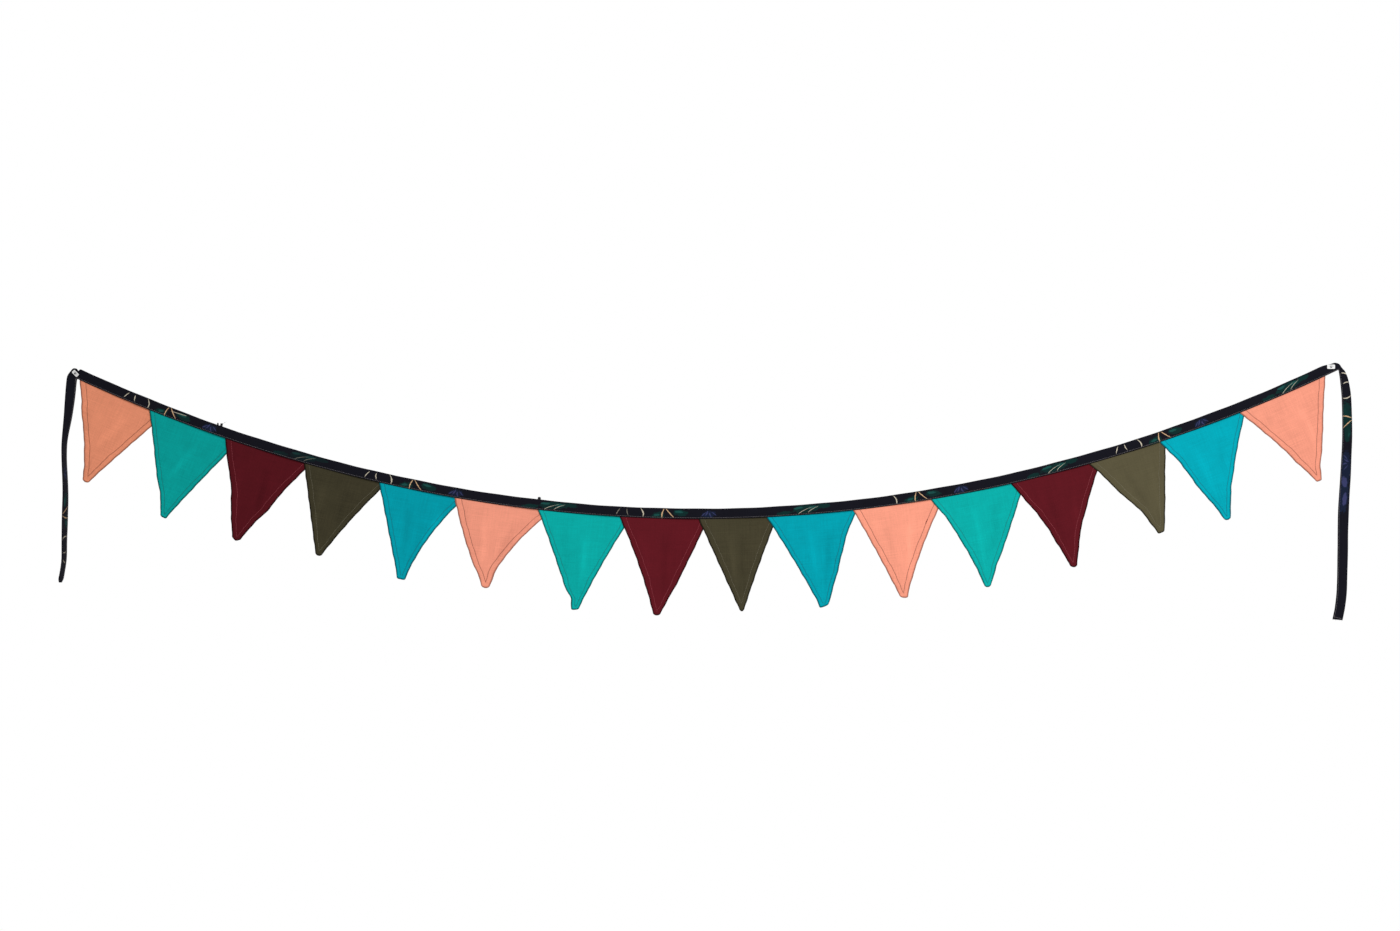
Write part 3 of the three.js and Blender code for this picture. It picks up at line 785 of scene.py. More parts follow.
def flag_marks(piece, flag, number, across, down, rim, shared):
    flat = np.stack([across, down, np.zeros_like(across)], axis=-1) + number * CLOTH_STEP
    line = np.abs(sewn_edge_distance(flag, number, across, down) - seam_distance(number, down))
    # painted shade in the troughs and painted light on the ridges of the creases, taken from the pennant's
    # tone
    crease_shade = CREASE_PAINTED_SHADE * crease_depth(number, across, down) * ease(down, *CREASED_FROM_TO)
    seam = np.stack([rim, line, TONES.get(number, 0.0) - crease_shade], axis=-1)
    store(piece, "cloth", both_faces(flat, flat + BEHIND_STEP, shared))
    store(piece, "seam", both_faces(seam, seam, shared))


def flag_layout(flag, across, down, front):
    u = (across - flag.left) / (LAYOUT_WIDE * (flag.right - flag.left)) + LAYOUT_EDGE
    v = 1.0 - LAYOUT_EDGE - (1.0 - 2.0 * LAYOUT_EDGE) * (down + INSERT) / (flag.drop + INSERT)
    corners = np.stack([u, v], axis=-1).reshape(-1, 2)[sheet_faces(front, front)]
    corners[len(corners) // 2 :] += np.array([0.5, 0.0])
    return corners.reshape(-1, 2)


print("a face takes", round(1.0 / LAYOUT_WIDE, 2), "of the layout's width")

# %% All sixteen pennants as closed sheets


def flag_piece(flag, number):
    across, down, rim = flag_grid(flag, number)
    middle = flag_middle(flag, number, across, down)
    thick = flag_half(flag, number, across, down, rim)[..., None] * TOWARDS_VIEWER
    shared = rim_is_shared(across.shape)
    front = np.arange(across.size).reshape(across.shape)
    back = front.copy()
    back[~shared] = across.size + np.arange((~shared).sum())
    name = f"flag_{number:02d}_{flag.colour}"
    finish = FIRST_PEACH_FINISH if number in OWN_DYE_FLAGS else COTTON_FINISH[flag.colour]
    points = both_faces(middle + thick, middle - thick, shared)
    piece = make_piece(name + "_cloth", points, sheet_faces(front, back).tolist(), finish)
    flag_marks(piece, flag, number, across, down, rim, shared)
    lay_out(piece, flag_layout(flag, across, down, front))
    return piece, name


flag_pieces = []
for number, flag in enumerate(FLAGS, start=1):
    piece, node = flag_piece(flag, number)
    fit(piece, flag.colour + "_cotton", node)
    flag_pieces.append(piece)
print("faces in one pennant:", len(flag_pieces[0].data.polygons))

# %% [markdown]
# ## Topstitching
# A sewing machine leaves a row of short, tight stitches that dip into the cloth at both ends. At this size
# a drawn line would look printed, so each stitch is a small spindle of thread that lies in the groove. They
# are built together as arrays, one piece for each colour of thread, on the front and on the back.

# %% Thread finish: two twisted plies, smoother than cloth
THREAD_SPECULAR = 0.25
THREAD_SHEEN = 0.05
THREAD_CLOUDS = 0.3
THREAD_SMOOTHER = 0.75
PLY_TWIST = 9.0
PLY_SHADE = 0.12
PLY_RELIEF = 0.05


def thread_material(name, dye):
    material, tree, shader = new_material(name, THREAD_SPECULAR, THREAD_SHEEN)
    cloth = mark(tree, "cloth")
    along, around, _ = split(tree, mark(tree, "ply"))
    ply = calc(tree, "SINE", calc(tree, "MULTIPLY_ADD", along, PLY_TWIST, around))
    shade = calc(tree, "MULTIPLY", ply, PLY_SHADE)
    dyed = place_group(tree, DYE, Cloth=cloth, Dye=(*dye, 1.0), Shade=shade, Depth=THREAD_CLOUDS)
    feed(tree, shader["Base Color"], dyed["Colour"])
    feed(tree, shader["Roughness"], calc(tree, "MULTIPLY", dyed["Roughness"], THREAD_SMOOTHER))
    raise_surface(tree, shader, ply, PLY_RELIEF)
    return material


COTTON_THREADS = {name: thread_material(name + " thread", cotton.thread) for name, cotton in COTTONS.items()}
print("threads:", ", ".join(COTTON_THREADS))

# %% Rings of points: their angles, unit directions and the faces between them


def ring_angles(count):
    return np.arange(count) * 2.0 * np.pi / count


def unit(vectors):
    return vectors / np.linalg.norm(vectors, axis=-1, keepdims=True)


def tube_faces(rings, sides, offset=0):
    grid = np.arange(rings * sides).reshape(rings, sides) + offset
    beside = np.roll(grid, -1, axis=1)
    skin = np.stack([grid[:-1], grid[1:], beside[1:], beside[:-1]], axis=-1).reshape(-1, 4)
    return skin.tolist() + [grid[0].tolist(), grid[-1, ::-1].tolist()]


print("faces of a tube of two rings of six points:", len(tube_faces(2, 6)))

# %% Spindles of thread from places and directions
STITCH_LENGTH = 2.5
STITCH_PITCH = 2.9
STITCH_RADIUS = 0.27
STITCH_SIDES = 6
STITCH_PLACES = np.array([-1.0, -0.62, 0.0, 0.62, 1.0])
STITCH_LIFTS = np.array([-0.3, -0.02, 0.1, -0.02, -0.3])
STITCH_GIRTH = np.array([0.5, 0.9, 1.0, 0.9, 0.5])
STITCH_POINTS = len(STITCH_PLACES) * STITCH_SIDES


def stitch_arrays(places, along, out, girth=1.0):
    count = len(places)
    side = np.cross(along, out)
    turn = ring_angles(STITCH_SIDES)
    centre = places[:, None, :] + 0.5 * STITCH_LENGTH * STITCH_PLACES[None, :, None] * along[:, None, :]
    centre = centre + STITCH_LIFTS[None, :, None] * out[:, None, :]
    radius = girth * STITCH_RADIUS * STITCH_GIRTH[None, :, None, None]
    ring = np.cos(turn)[None, None, :, None] * side[:, None, None, :]
    ring = ring + np.sin(turn)[None, None, :, None] * out[:, None, None, :]
    points = (centre[:, :, None, :] + radius * ring).reshape(-1, 3)
    ply = np.zeros((count, len(STITCH_PLACES), STITCH_SIDES, 3))
    ply[..., 0] = 0.5 * STITCH_LENGTH * STITCH_PLACES[None, :, None]
    ply[..., 1] = turn[None, None, :]
    return points, ply.reshape(-1, 3)


def stitch_faces(count):
    # a stitch's rings run the other way round, so each face is turned to look outwards
    one = [face[:1] + face[:0:-1] for face in tube_faces(len(STITCH_PLACES), STITCH_SIDES)]
    return [[corner + STITCH_POINTS * number for corner in face] for number in range(count) for face in one]


def stitch_piece(name, runs, material):
    points = np.concatenate([run[0] for run in runs])
    ply = np.concatenate([run[1] for run in runs])
    count = len(points) // STITCH_POINTS
    piece = make_piece(name, points, stitch_faces(count), material)
    store(piece, "cloth", points)
    store(piece, "ply", ply)
    return piece, count


print("stitches:", STITCH_LENGTH, "mm long, one every", STITCH_PITCH, "mm")

# %% The stitch lines of the pennants: down a side and half way across the tip
SEAM_FROM = 0.6
SEAM_SAMPLES = 1200


def run_length(points):
    return np.concatenate([[0.0], np.cumsum(np.linalg.norm(np.diff(points, axis=0), axis=1))])


def seam_run(flag, number, side):
    down = np.linspace(SEAM_FROM, flag.drop, SEAM_SAMPLES)
    left, right = flag_sides(flag, number, down)
    left_cos, right_cos = side_cosines(flag)
    left_line = left + seam_distance(number, down) / left_cos
    right_line = right - seam_distance(number, down) / right_cos
    kept = (left_line < right_line) & (down < flag.drop - seam_distance(number, down))
    line = left_line if side == "left" else right_line
    turn = 0.5 * (left_line[kept][-1] + right_line[kept][-1])
    across = np.append(line[kept], turn)
    down = np.append(down[kept], down[kept][-1])
    length = run_length(np.stack([across, down], axis=-1))
    places = np.arange(0.5 * STITCH_PITCH, length[-1], STITCH_PITCH)
    return np.interp(places, length, across), np.interp(places, length, down)


print("stitches down the first pennant's left side:", len(seam_run(FLAGS[0], 1, "left")[0]))

# %% Stitches on both faces of the pennants
WHOLE_SEAM = (0.0, 1000.0)


def on_flag(flag, number, across, down, facing):
    rim = sewn_edge_distance(flag, number, across, down)
    half = flag_half(flag, number, across, down, rim)
    return flag_middle(flag, number, across, down) + (facing * half)[:, None] * TOWARDS_VIEWER


def flag_stitches(flag, number, side, facing, span=WHOLE_SEAM, girth=1.0):
    across, down = seam_run(flag, number, side)
    kept = (down > span[0]) & (down < span[1])
    here = on_flag(flag, number, across[kept], down[kept], facing)
    along = unit(np.gradient(here, axis=0))
    out = np.tile(TOWARDS_VIEWER * facing, (len(here), 1))
    return stitch_arrays(here, along, out, girth)


stitch_count = 0
for colour, thread in COTTON_THREADS.items():
    runs = [
        flag_stitches(flag, number, side, facing)
        for number, flag in enumerate(FLAGS, start=1)
        if flag.colour == colour
        for side in ("left", "right")
        for facing in (1.0, -1.0)
    ]
    piece, count = stitch_piece(colour + "_topstitch", runs, thread)
    fit(piece, colour + "_cotton")
    stitch_count += count
print("stitches on the pennants:", stitch_count)

# %% [markdown]
# ## The tape's path
# The tape is one long strip folded lengthwise. It starts at the left tie's free end, rises to the left clip,
# turns into the arch, turns down again at the right clip and ends as the right tie. Its path is a run of
# stations, each with a place, a direction across, a direction outwards and a width, so a twist in a tie is
# only a turn of those two directions.

# %% Tables of the ties: drop, place across, depth, twist in degrees, width
LEFT_TIE = np.array(
    [
        (77.0, -1110.4, -9.2, 47.0, 18.0),
        (133.0, -1117.5, -9.8, 70.0, 18.0),
        (215.0, -1115.5, -9.8, 69.0, 18.0),
        (257.0, -1116.5, -9.6, 66.0, 18.0),
        (299.0, -1117.3, -9.8, 71.0, 18.0),
        (332.0, -1118.0, -9.8, 73.0, 18.0),
        (355.0, -1121.2, -9.8, 75.0, 18.0),
        (366.0, -1123.4, -9.8, 72.0, 16.0),
        (371.5, -1124.3, -9.8, 72.0, 8.0),
    ]
)
RIGHT_TIE = np.array(
    [
        (17.0, 1122.3, -2.2, 0.0, 14.5),
        (52.0, 1126.1, -4.0, 12.0, 16.8),
        (115.0, 1126.8, -6.4, 28.0, 18.0),
        (182.0, 1124.0, -5.4, 20.0, 18.0),
        (248.0, 1120.7, -3.4, 4.0, 18.8),
        (315.0, 1119.5, -4.0, -6.0, 19.0),
        (383.0, 1117.6, -5.2, -12.0, 18.8),
        (416.0, 1114.2, -5.2, -12.0, 18.6),
        (437.0, 1110.1, -4.8, -8.0, 18.2),
    ]
)
print("left tie ends", LEFT_TIE[-1, 0], "mm down, right tie", RIGHT_TIE[-1, 0], "mm down")

# %% Read a table smoothly: a curve through its rows


def look_up(rows, column, value):
    keys = rows[:, 0]
    last = len(keys) - 1
    i = int(np.clip(np.searchsorted(keys, value) - 1, 0, last - 1))
    before, after = max(i - 1, 0), min(i + 2, last)
    step = keys[i + 1] - keys[i]
    f = np.clip((value - keys[i]) / step, 0.0, 1.0)
    slope_from = step * (rows[i + 1, column] - rows[before, column]) / (keys[i + 1] - keys[before])
    slope_to = step * (rows[after, column] - rows[i, column]) / (keys[after] - keys[i])
    start = (2.0 * f**3 - 3.0 * f**2 + 1.0) * rows[i, column] + (f**3 - 2.0 * f**2 + f) * slope_from
    return start + (3.0 * f**2 - 2.0 * f**3) * rows[i + 1, column] + (f**3 - f**2) * slope_to


print("left tie 100 mm down is twisted by", round(look_up(LEFT_TIE, 3, 100.0)), "degrees")

# %% Stations along the arch
Station = namedtuple("Station", "centre edgeways outward width slot gather")
BAND_STEPS = 720
GATHER_FROM_X = 1080.0
GATHERED_WIDTH = 14.3


def across_tape(heading):
    return np.array([-np.sin(heading), 0.0, np.cos(heading)])


def station(centre, heading, width, slot, twist=0.0, gather=0.0):
    flat = across_tape(heading)
    edgeways = flat * np.cos(twist) + TOWARDS_VIEWER * np.sin(twist)
    outward = TOWARDS_VIEWER * np.cos(twist) - flat * np.sin(twist)
    return Station(centre, edgeways, outward, width, slot, gather)


def band_stations():
    stations = []
    for x in np.linspace(BAND_START_X, BAND_END_X, BAND_STEPS + 1)[1:-1]:
        heading = curve_heading(x)
        gathered = ease(x, GATHER_FROM_X, BAND_END_X)
        width = blend(TAPE_WIDTH, GATHERED_WIDTH, gathered)
        edge = lower_edge(x)
        centre = np.array([edge[0], middle_depth(x), edge[1]]) + across_tape(heading) * width / 2.0
        stations.append(station(centre, heading, width, slot_half(x)))
    return stations


arch = band_stations()
print("stations on the arch:", len(arch))

# %% Stations round the turns at the clips: the right one is gathered, the left one bulges and is nipped
RIGHT_GATHER = np.array([(0.0, GATHERED_WIDTH), (0.3, 11.0), (0.55, 8.0), (0.8, 8.0), (1.0, 10.5)])
LEFT_BULGES = [(2.2, 0.58, 0.13), (-3.4, 0.81, 0.05)]
LEFT_TIE_HEADING = np.radians(84.0)
RIGHT_TIE_HEADING = np.radians(-88.0)
TURN_INNER_RADIUS = 1.5
TURN_STEPS = 40


def right_width(share):
    return look_up(RIGHT_GATHER, 1, share)


def left_width(share):
    return TAPE_WIDTH + sum(height * hump(share, place, reach) for height, place, reach in LEFT_BULGES)


def turn_stations(x, from_heading, to_heading, width_at, gather):
    edge = lower_edge(x)
    pivot = np.array([edge[0], 0.0, edge[1]]) - across_tape(curve_heading(x)) * TURN_INNER_RADIUS
    stations = []
    for share in np.linspace(0.0, 1.0, TURN_STEPS + 1):
        heading = blend(from_heading, to_heading, share)
        width = width_at(share)
        centre = pivot + across_tape(heading) * (TURN_INNER_RADIUS + width / 2.0)
        centre[1] = -(SLOT_END + TAPE_SIDE)
        stations.append(station(centre, heading, width, SLOT_END, 0.0, gather * np.sin(np.pi * share) ** 2))
    return stations


left_turn = turn_stations(BAND_START_X, LEFT_TIE_HEADING, curve_heading(BAND_START_X), left_width, 0.0)
right_turn = turn_stations(BAND_END_X, curve_heading(BAND_END_X), RIGHT_TIE_HEADING, right_width, 1.0)
print("stations round each turn:", len(left_turn))

# %% Stations down the ties, and the whole path
TIE_STEPS = 130
TIE_RAMP = 40.0
LEAN_STEP = 1.0


def tie_stations(turn_end, table, upward):
    top = turn_end.centre
    rows = np.vstack([[-top[2], top[0], top[1], 0.0, turn_end.width], table])
    stations = []
    for drop in np.linspace(rows[0, 0], rows[-1, 0], TIE_STEPS + 1)[1:]:
        lean = look_up(rows, 1, drop + LEAN_STEP) - look_up(rows, 1, drop - LEAN_STEP)
        heading = np.arctan2(-2.0 * LEAN_STEP, lean) + (np.pi if upward else 0.0)
        centre = np.array([look_up(rows, 1, drop), look_up(rows, 2, drop), -drop])
        slot = blend(SLOT_END, SLOT_TIE, ease(drop - rows[0, 0], 0.0, TIE_RAMP))
        twist = np.radians(look_up(rows, 3, drop))
        stations.append(station(centre, heading, look_up(rows, 4, drop), slot, twist))
    return stations


left_tie = tie_stations(left_turn[0], LEFT_TIE, True)[::-1]
right_tie = tie_stations(right_turn[-1], RIGHT_TIE, False)
path = left_tie + left_turn + arch + right_turn + right_tie
between_ties = slice(len(left_tie), -len(right_tie))
centres = np.array([stop.centre for stop in path])
tape_length = run_length(centres)
print("stations:", len(path), "tape length:", round(tape_length[-1]), "mm")

# %% [markdown]
# ## The tape's print
# The tape is dark cotton with a small scattered print that repeats along it: thin curved stems, a sprig of
# two stems over leaves, a blue flower and a cluster of leaves. Stems and blots are two node groups made of
# plain sums, placed once for each motif from a short table, so the print needs no picture and stays sharp.

# %% The first print mark: a bent stem that tapers to its ends
MARK_INPUTS = {"Along": 0.0, "Across": 0.0, "At": 0.0, "Middle": 9.0}
MARK_INPUTS.update({"Half length": 6.0, "Half width": 0.7, "Slant": 0.0})
STEM_TAPER = 1.1
STEM_BLUR = 0.3
STEM_END_FROM_TO = (0.95, 1.05)


def stem_group():
    tree, given, result = new_group("printed stem", {**MARK_INPUTS, "Bend": 0.0}, {"Mask": "value"})
    up = calc(tree, "SUBTRACT", given["Across"], given["Middle"])
    lean = calc(tree, "MULTIPLY_ADD", up, given["Slant"], given["At"])
    bent = calc(tree, "MULTIPLY_ADD", calc(tree, "MULTIPLY", up, up), given["Bend"], lean)
    away = calc(tree, "ABSOLUTE", calc(tree, "SUBTRACT", given["Along"], bent))
    to_end = calc(tree, "DIVIDE", calc(tree, "ABSOLUTE", up), given["Half length"])
    taper = calc(tree, "SUBTRACT", STEM_TAPER, calc(tree, "MULTIPLY", to_end, to_end))
    width = calc(tree, "MULTIPLY", given["Half width"], calc(tree, "MAXIMUM", taper, 0.0))
    outer = calc(tree, "ADD", width, STEM_BLUR)
    body = fade(tree, away, width, outer, 1.0, 0.0)
    ends = fade(tree, to_end, *STEM_END_FROM_TO, 1.0, 0.0)
    feed(tree, result["Mask"], calc(tree, "MULTIPLY", body, ends))
    return tree


STEM = stem_group()
print("group:", STEM.name)

# %% The second print mark: a blot with a ragged, soft edge
BLOT_EDGE_FROM_TO = (0.7, 1.1)


def blot_group():
    tree, given, result = new_group("printed blot", {**MARK_INPUTS, "Ragged": 0.0}, {"Mask": "value"})
    up = calc(tree, "SUBTRACT", given["Across"], given["Middle"])
    along = calc(tree, "SUBTRACT", given["Along"], given["At"])
    slid = calc(tree, "SUBTRACT", along, calc(tree, "MULTIPLY", up, given["Slant"]))
    long_share = calc(tree, "DIVIDE", slid, given["Half length"])
    wide_share = calc(tree, "DIVIDE", up, given["Half width"])
    long_square = calc(tree, "MULTIPLY", long_share, long_share)
    wide_square = calc(tree, "MULTIPLY", wide_share, wide_share)
    squares = calc(tree, "ADD", long_square, wide_square)
    rough = calc(tree, "ADD", squares, given["Ragged"])
    feed(tree, result["Mask"], fade(tree, rough, *BLOT_EDGE_FROM_TO, 1.0, 0.0))
    return tree


BLOT = blot_group()
print("group:", BLOT.name)

# %% The printed motifs: ink, then the columns named here, which a blot has without the last
MARK_COLUMNS = ("At", "Middle", "Half_length", "Half_width", "Slant", "Bend")
REPEAT = 441.0
REPEAT_START = -150.0
INKS = {
    "leaf": (0.004, 0.027, 0.025),
    "light_leaf": (0.011, 0.075, 0.067),
    "flower": (0.009, 0.015, 0.038),
    "violet": (0.042, 0.047, 0.132),
    "cream": (0.6, 0.54, 0.42),
    "peach": (0.7, 0.45, 0.25),
}
BLOTS = [
    ("leaf", -12.0, 5.0, 12.0, 6.0, 0.6),
    ("leaf", 27.0, 10.0, 13.0, 6.0, -0.5),
    ("light_leaf", 24.0, 12.0, 7.0, 2.2, -0.8),
    ("light_leaf", -14.0, 6.0, 5.0, 2.2, 0.7),
    ("flower", 76.0, 8.0, 12.0, 6.5, 0.3),
    ("leaf", 206.0, 5.0, 13.0, 4.0, 0.9),
    ("leaf", 246.0, 10.0, 24.0, 7.0, 0.7),
    ("light_leaf", 232.0, 12.5, 8.0, 2.2, 1.2),
    ("light_leaf", 258.0, 12.0, 9.0, 2.4, 1.0),
    ("leaf", 276.0, 13.0, 13.0, 4.0, -0.4),
]
STEMS = [
    ("cream", -82.0, 9.5, 5.5, 0.7, 0.55, 0.02),
    ("cream", -66.0, 9.5, 5.5, 0.6, -0.2, 0.03),
    ("cream", -38.0, 9.5, 8.0, 0.8, -0.3, -0.045),
    ("peach", -5.0, 8.5, 8.5, 0.75, 0.2, 0.02),
    ("peach", 8.0, 9.5, 8.0, 0.8, -0.9, 0.012),
    ("violet", 67.0, 8.0, 4.0, 0.9, 1.1, 0.05),
    ("violet", 73.0, 9.5, 4.5, 1.0, 0.5, -0.06),
    ("violet", 78.0, 7.0, 4.0, 0.9, -0.3, 0.08),
    ("violet", 85.0, 9.0, 3.5, 0.8, -1.2, 0.0),
    ("cream", 240.0, 7.5, 5.5, 0.6, 2.2, 0.12),
    ("cream", 255.0, 8.5, 5.0, 0.55, 1.9, 0.1),
]
print("marks in one repeat of", REPEAT, "mm:", len(BLOTS) + len(STEMS))

# %% Marks that show once, on the right tie and at the first sprig, with the same columns
TIE_BLOTS = [
    ("leaf", 1322.0, 9.0, 34.0, 8.0, 0.4),
    ("flower", 1413.0, 9.0, 36.0, 9.0, 0.3),
    ("flower", 1459.0, 8.0, 30.0, 9.0, -0.4),
    ("violet", 1433.0, 8.0, 9.0, 5.0, 0.5),
    ("violet", 1463.0, 10.0, 12.0, 4.0, -0.5),
]
LONE_STEMS = [("cream", -864.0, 13.0, 1.1, 6.0, 12.0, 0.0)]
print("marks that show once:", len(TIE_BLOTS) + len(LONE_STEMS))

# %% [markdown]
# ## Printed cotton tape
# The tape shares the weave, dye and seam shade groups with the pennants, at a finer pitch and with a nearly
# black dye, so its lower edge and stitch line get painted shade too. The place along the tape is wrapped to
# one repeat, a little noise roughens the print's edges as ink does on cloth, and each mark is mixed over the
# last one.

# %% The tape's finish
TAPE_SPECULAR = 0.06
TAPE_SHEEN = 0.01
TAPE_PITCH = 0.5
TAPE_DYE = (0.0068, 0.0066, 0.0112)
TAPE_CLOUDS = 0.5
TAPE_RIM_SHADE = 0.25
TAPE_LINE_SHADE = 0.2
TAPE_RELIEF = 0.09
INK_SHAKE = 2.4
INK_SHAKE_SCALE = 0.35
INK_RAGGED = 2.2
INK_RAGGED_SCALE = 0.22


def tape_material():
    material, tree, shader = new_material("printed tape", TAPE_SPECULAR, TAPE_SHEEN)
    cloth = mark(tree, "cloth")
    along, up, ink_left = split(tree, mark(tree, "print"))
    rim, line, _ = split(tree, mark(tree, "seam"))
    jitter = calc(tree, "SUBTRACT", noise(tree, cloth, INK_SHAKE_SCALE, 2.0), 0.5)
    wrapped = calc(tree, "WRAP", along, REPEAT_START + REPEAT, REPEAT_START)
    shaken = calc(tree, "MULTIPLY_ADD", jitter, INK_SHAKE, wrapped)
    uneven = calc(tree, "SUBTRACT", noise(tree, cloth, INK_RAGGED_SCALE, 3.0), 0.5)
    ragged = calc(tree, "MULTIPLY", uneven, INK_RAGGED)
    weave = place_group(tree, WEAVE, Cloth=cloth, Pitch=TAPE_PITCH)
    dye = {"Dye": (*TAPE_DYE, 1.0), "Shade": weave["Shade"], "Depth": TAPE_CLOUDS}
    ground = place_group(tree, DYE, Cloth=cloth, **dye)
    colour = ground["Colour"]
    marks = [(BLOT, shaken, row) for row in BLOTS] + [(BLOT, along, row) for row in TIE_BLOTS]
    marks += [(STEM, shaken, row) for row in STEMS] + [(STEM, along, row) for row in LONE_STEMS]
    for group, place, (ink, *numbers) in marks:
        shape = dict(zip(MARK_COLUMNS, numbers))
        if group == BLOT:
            shape["Ragged"] = ragged
        mask = place_group(tree, group, Along=place, Across=up, **shape)["Mask"]
        colour = mix_colour(tree, calc(tree, "MULTIPLY", mask, ink_left), colour, (*INKS[ink], 1.0))
    # painted shade at the tape's lower edge and a painted shadow along its stitch line
    edges = {"Rim": rim, "Line": line, "Rim_shade": TAPE_RIM_SHADE, "Line_shade": TAPE_LINE_SHADE}
    seam = place_group(tree, SEAM, Colour=colour, **edges)
    feed(tree, shader["Base Color"], seam["Colour"])
    feed(tree, shader["Roughness"], ground["Roughness"])
    raise_surface(tree, shader, weave["Height"], TAPE_RELIEF)
    return material


TAPE_FINISH = tape_material()
print("print marks:", len(BLOTS) + len(TIE_BLOTS), "blots and", len(STEMS) + len(LONE_STEMS), "stems")

# %% [markdown]
# ## The folded tape
# Seen from its end, the tape is a tall narrow U: two sides, a rounded fold on top, turned-in lower edges and
# a slot that takes the pennants. Its outline is given as distances from the lower edge and from the middle,
# and swept along the stations. Small unevenness in width and thickness keeps it from looking extruded.

# %% The tape's outline: distance from the lower edge, share of the side's thickness beyond the slot
SIDE_OUTLINE = [
    (0.02, 0.5),
    (0.1, 0.8),
    (0.45, 0.97),
    (1.1, 1.0),
    (1.6, 0.93),
    (2.0, 0.72),
    (2.4, 0.93),
    (3.0, 1.0),
    (5.0, 1.0),
    (8.0, 0.98),
    (11.0, 0.98),
    (13.6, 0.96),
]
FOLD_OUTLINE = [(2.9, 0.94), (1.8, 0.84), (0.9, 0.66), (0.25, 0.38)]
SLOT_SHARE = 0.8
SLOT_MOUTH = [(0.6, 0.0), (0.12, 0.1)]
STITCH_LINE = 2.0


def tape_outline(width, slot):
    half = slot + TAPE_SIDE
    scale = width / TAPE_WIDTH
    front = [(rise * scale, slot + share * TAPE_SIDE) for rise, share in SIDE_OUTLINE]
    front += [(width - below * scale, share * half) for below, share in FOLD_OUTLINE]
    back = [(rise, -out) for rise, out in reversed(front)]
    inner_front = [(SLOT_SHARE * width, slot)] + [(rise, slot + wider) for rise, wider in SLOT_MOUTH]
    inner_back = [(rise, -out) for rise, out in reversed(inner_front)]
    return np.array(front + [(width, 0.0)] + back + inner_back + inner_front)


OUTLINE_POINTS = len(tape_outline(TAPE_WIDTH, SLOT_FLAGS))
FRONT_POINTS = len(SIDE_OUTLINE) + len(FOLD_OUTLINE) + 1
OUTER_POINTS = 2 * FRONT_POINTS - 1
print("points round the tape:", OUTLINE_POINTS)

# %% Sweep the outline along the path
WRINKLE_HEIGHT = 0.8
WRINKLE_STEP = 5.0 / 4.0
STITCH_PUCKER = 0.1
STITCH_PUCKER_REACH = 1.6
TAPE_PRESSED = 0.09


def tape_unevenness(length):
    width = wave(length, 0.22, 37.0, 0.0) + wave(length, 0.16, 11.3, 1.0)
    swell = wave(length, 0.05, 23.0, 0.4) + wave(length, 0.04, 7.1, 0.0)
    return width, swell


def tape_points():
    points = np.zeros((len(path), OUTLINE_POINTS, 3))
    rise = np.zeros((len(path), OUTLINE_POINTS))
    turned = np.cumsum([stop.gather for stop in path])
    for k, stop in enumerate(path):
        wider, swell = tape_unevenness(tape_length[k])
        outline = tape_outline(stop.width + wider, stop.slot)
        near_line = hump(outline[:, 0], STITCH_LINE, STITCH_PUCKER_REACH)
        pucker = wave(tape_length[k], STITCH_PUCKER, 1.35, 0.0) * near_line
        outer = np.arange(OUTLINE_POINTS) < OUTER_POINTS
        pulled_in = TAPE_PRESSED + 0.5 * np.abs(pucker) - swell
        off = outline[:, 1] - np.sign(outline[:, 1]) * outer * pulled_in
        wrinkle = WRINKLE_HEIGHT * stop.gather * (0.5 + 0.5 * np.sin(turned[k] * WRINKLE_STEP))
        off = off + wrinkle * outline[:, 0] / TAPE_WIDTH
        towards_fold = outline[:, 0] - stop.width / 2.0
        points[k] = stop.centre + towards_fold[:, None] * stop.edgeways + off[:, None] * stop.outward
        rise[k] = outline[:, 0]
    return points, rise


grid_points, rise = tape_points()
print("points in the tape:", rise.size)

# %% Where the print's sprigs fall, and how much of its ink is left: place along the tape and share
SPRIGS_SEEN = np.array([-1378.0, -949.0, -502.0, -58.0, 386.0, 825.0, 1254.0])
SPRIGS_EVEN = REPEAT * np.array([-3.0, -2.0, -1.0, 0.0, 1.0, 2.0, 3.0])
BACK_SHIFT = 180.0
INK_LEFT = np.array(
    [
        (-1500.0, 0.25),
        (-1400.0, 0.45),
        (-1260.0, 0.45),
        (-1220.0, 0.0),
        (-1040.0, 0.0),
        (-1000.0, 0.9),
        (-690.0, 0.9),
        (-670.0, 0.35),
        (-600.0, 0.35),
        (-590.0, 0.9),
        (-98.0, 0.9),
        (-92.0, 0.3),
        (-60.0, 0.3),
        (-52.0, 0.9),
        (340.0, 0.9),
        (348.0, 0.0),
        (384.0, 0.0),
        (392.0, 0.9),
        (1493.0, 0.9),
        (1523.0, 0.0),
    ]
)


def print_place(length):
    seen = length - np.interp(CURVE_LOW_X, centres[between_ties, 0], tape_length[between_ties])
    inside = np.interp(seen, SPRIGS_SEEN, SPRIGS_EVEN)
    before = SPRIGS_EVEN[0] + np.minimum(seen - SPRIGS_SEEN[0], 0.0)
    after = SPRIGS_EVEN[-1] + np.maximum(seen - SPRIGS_SEEN[-1], 0.0)
    return np.where(seen < SPRIGS_SEEN[0], before, np.where(seen > SPRIGS_SEEN[-1], after, inside))


ink_places = print_place(tape_length)
print("print runs from", round(ink_places[0]), "to", round(ink_places[-1]), "mm along the tape")

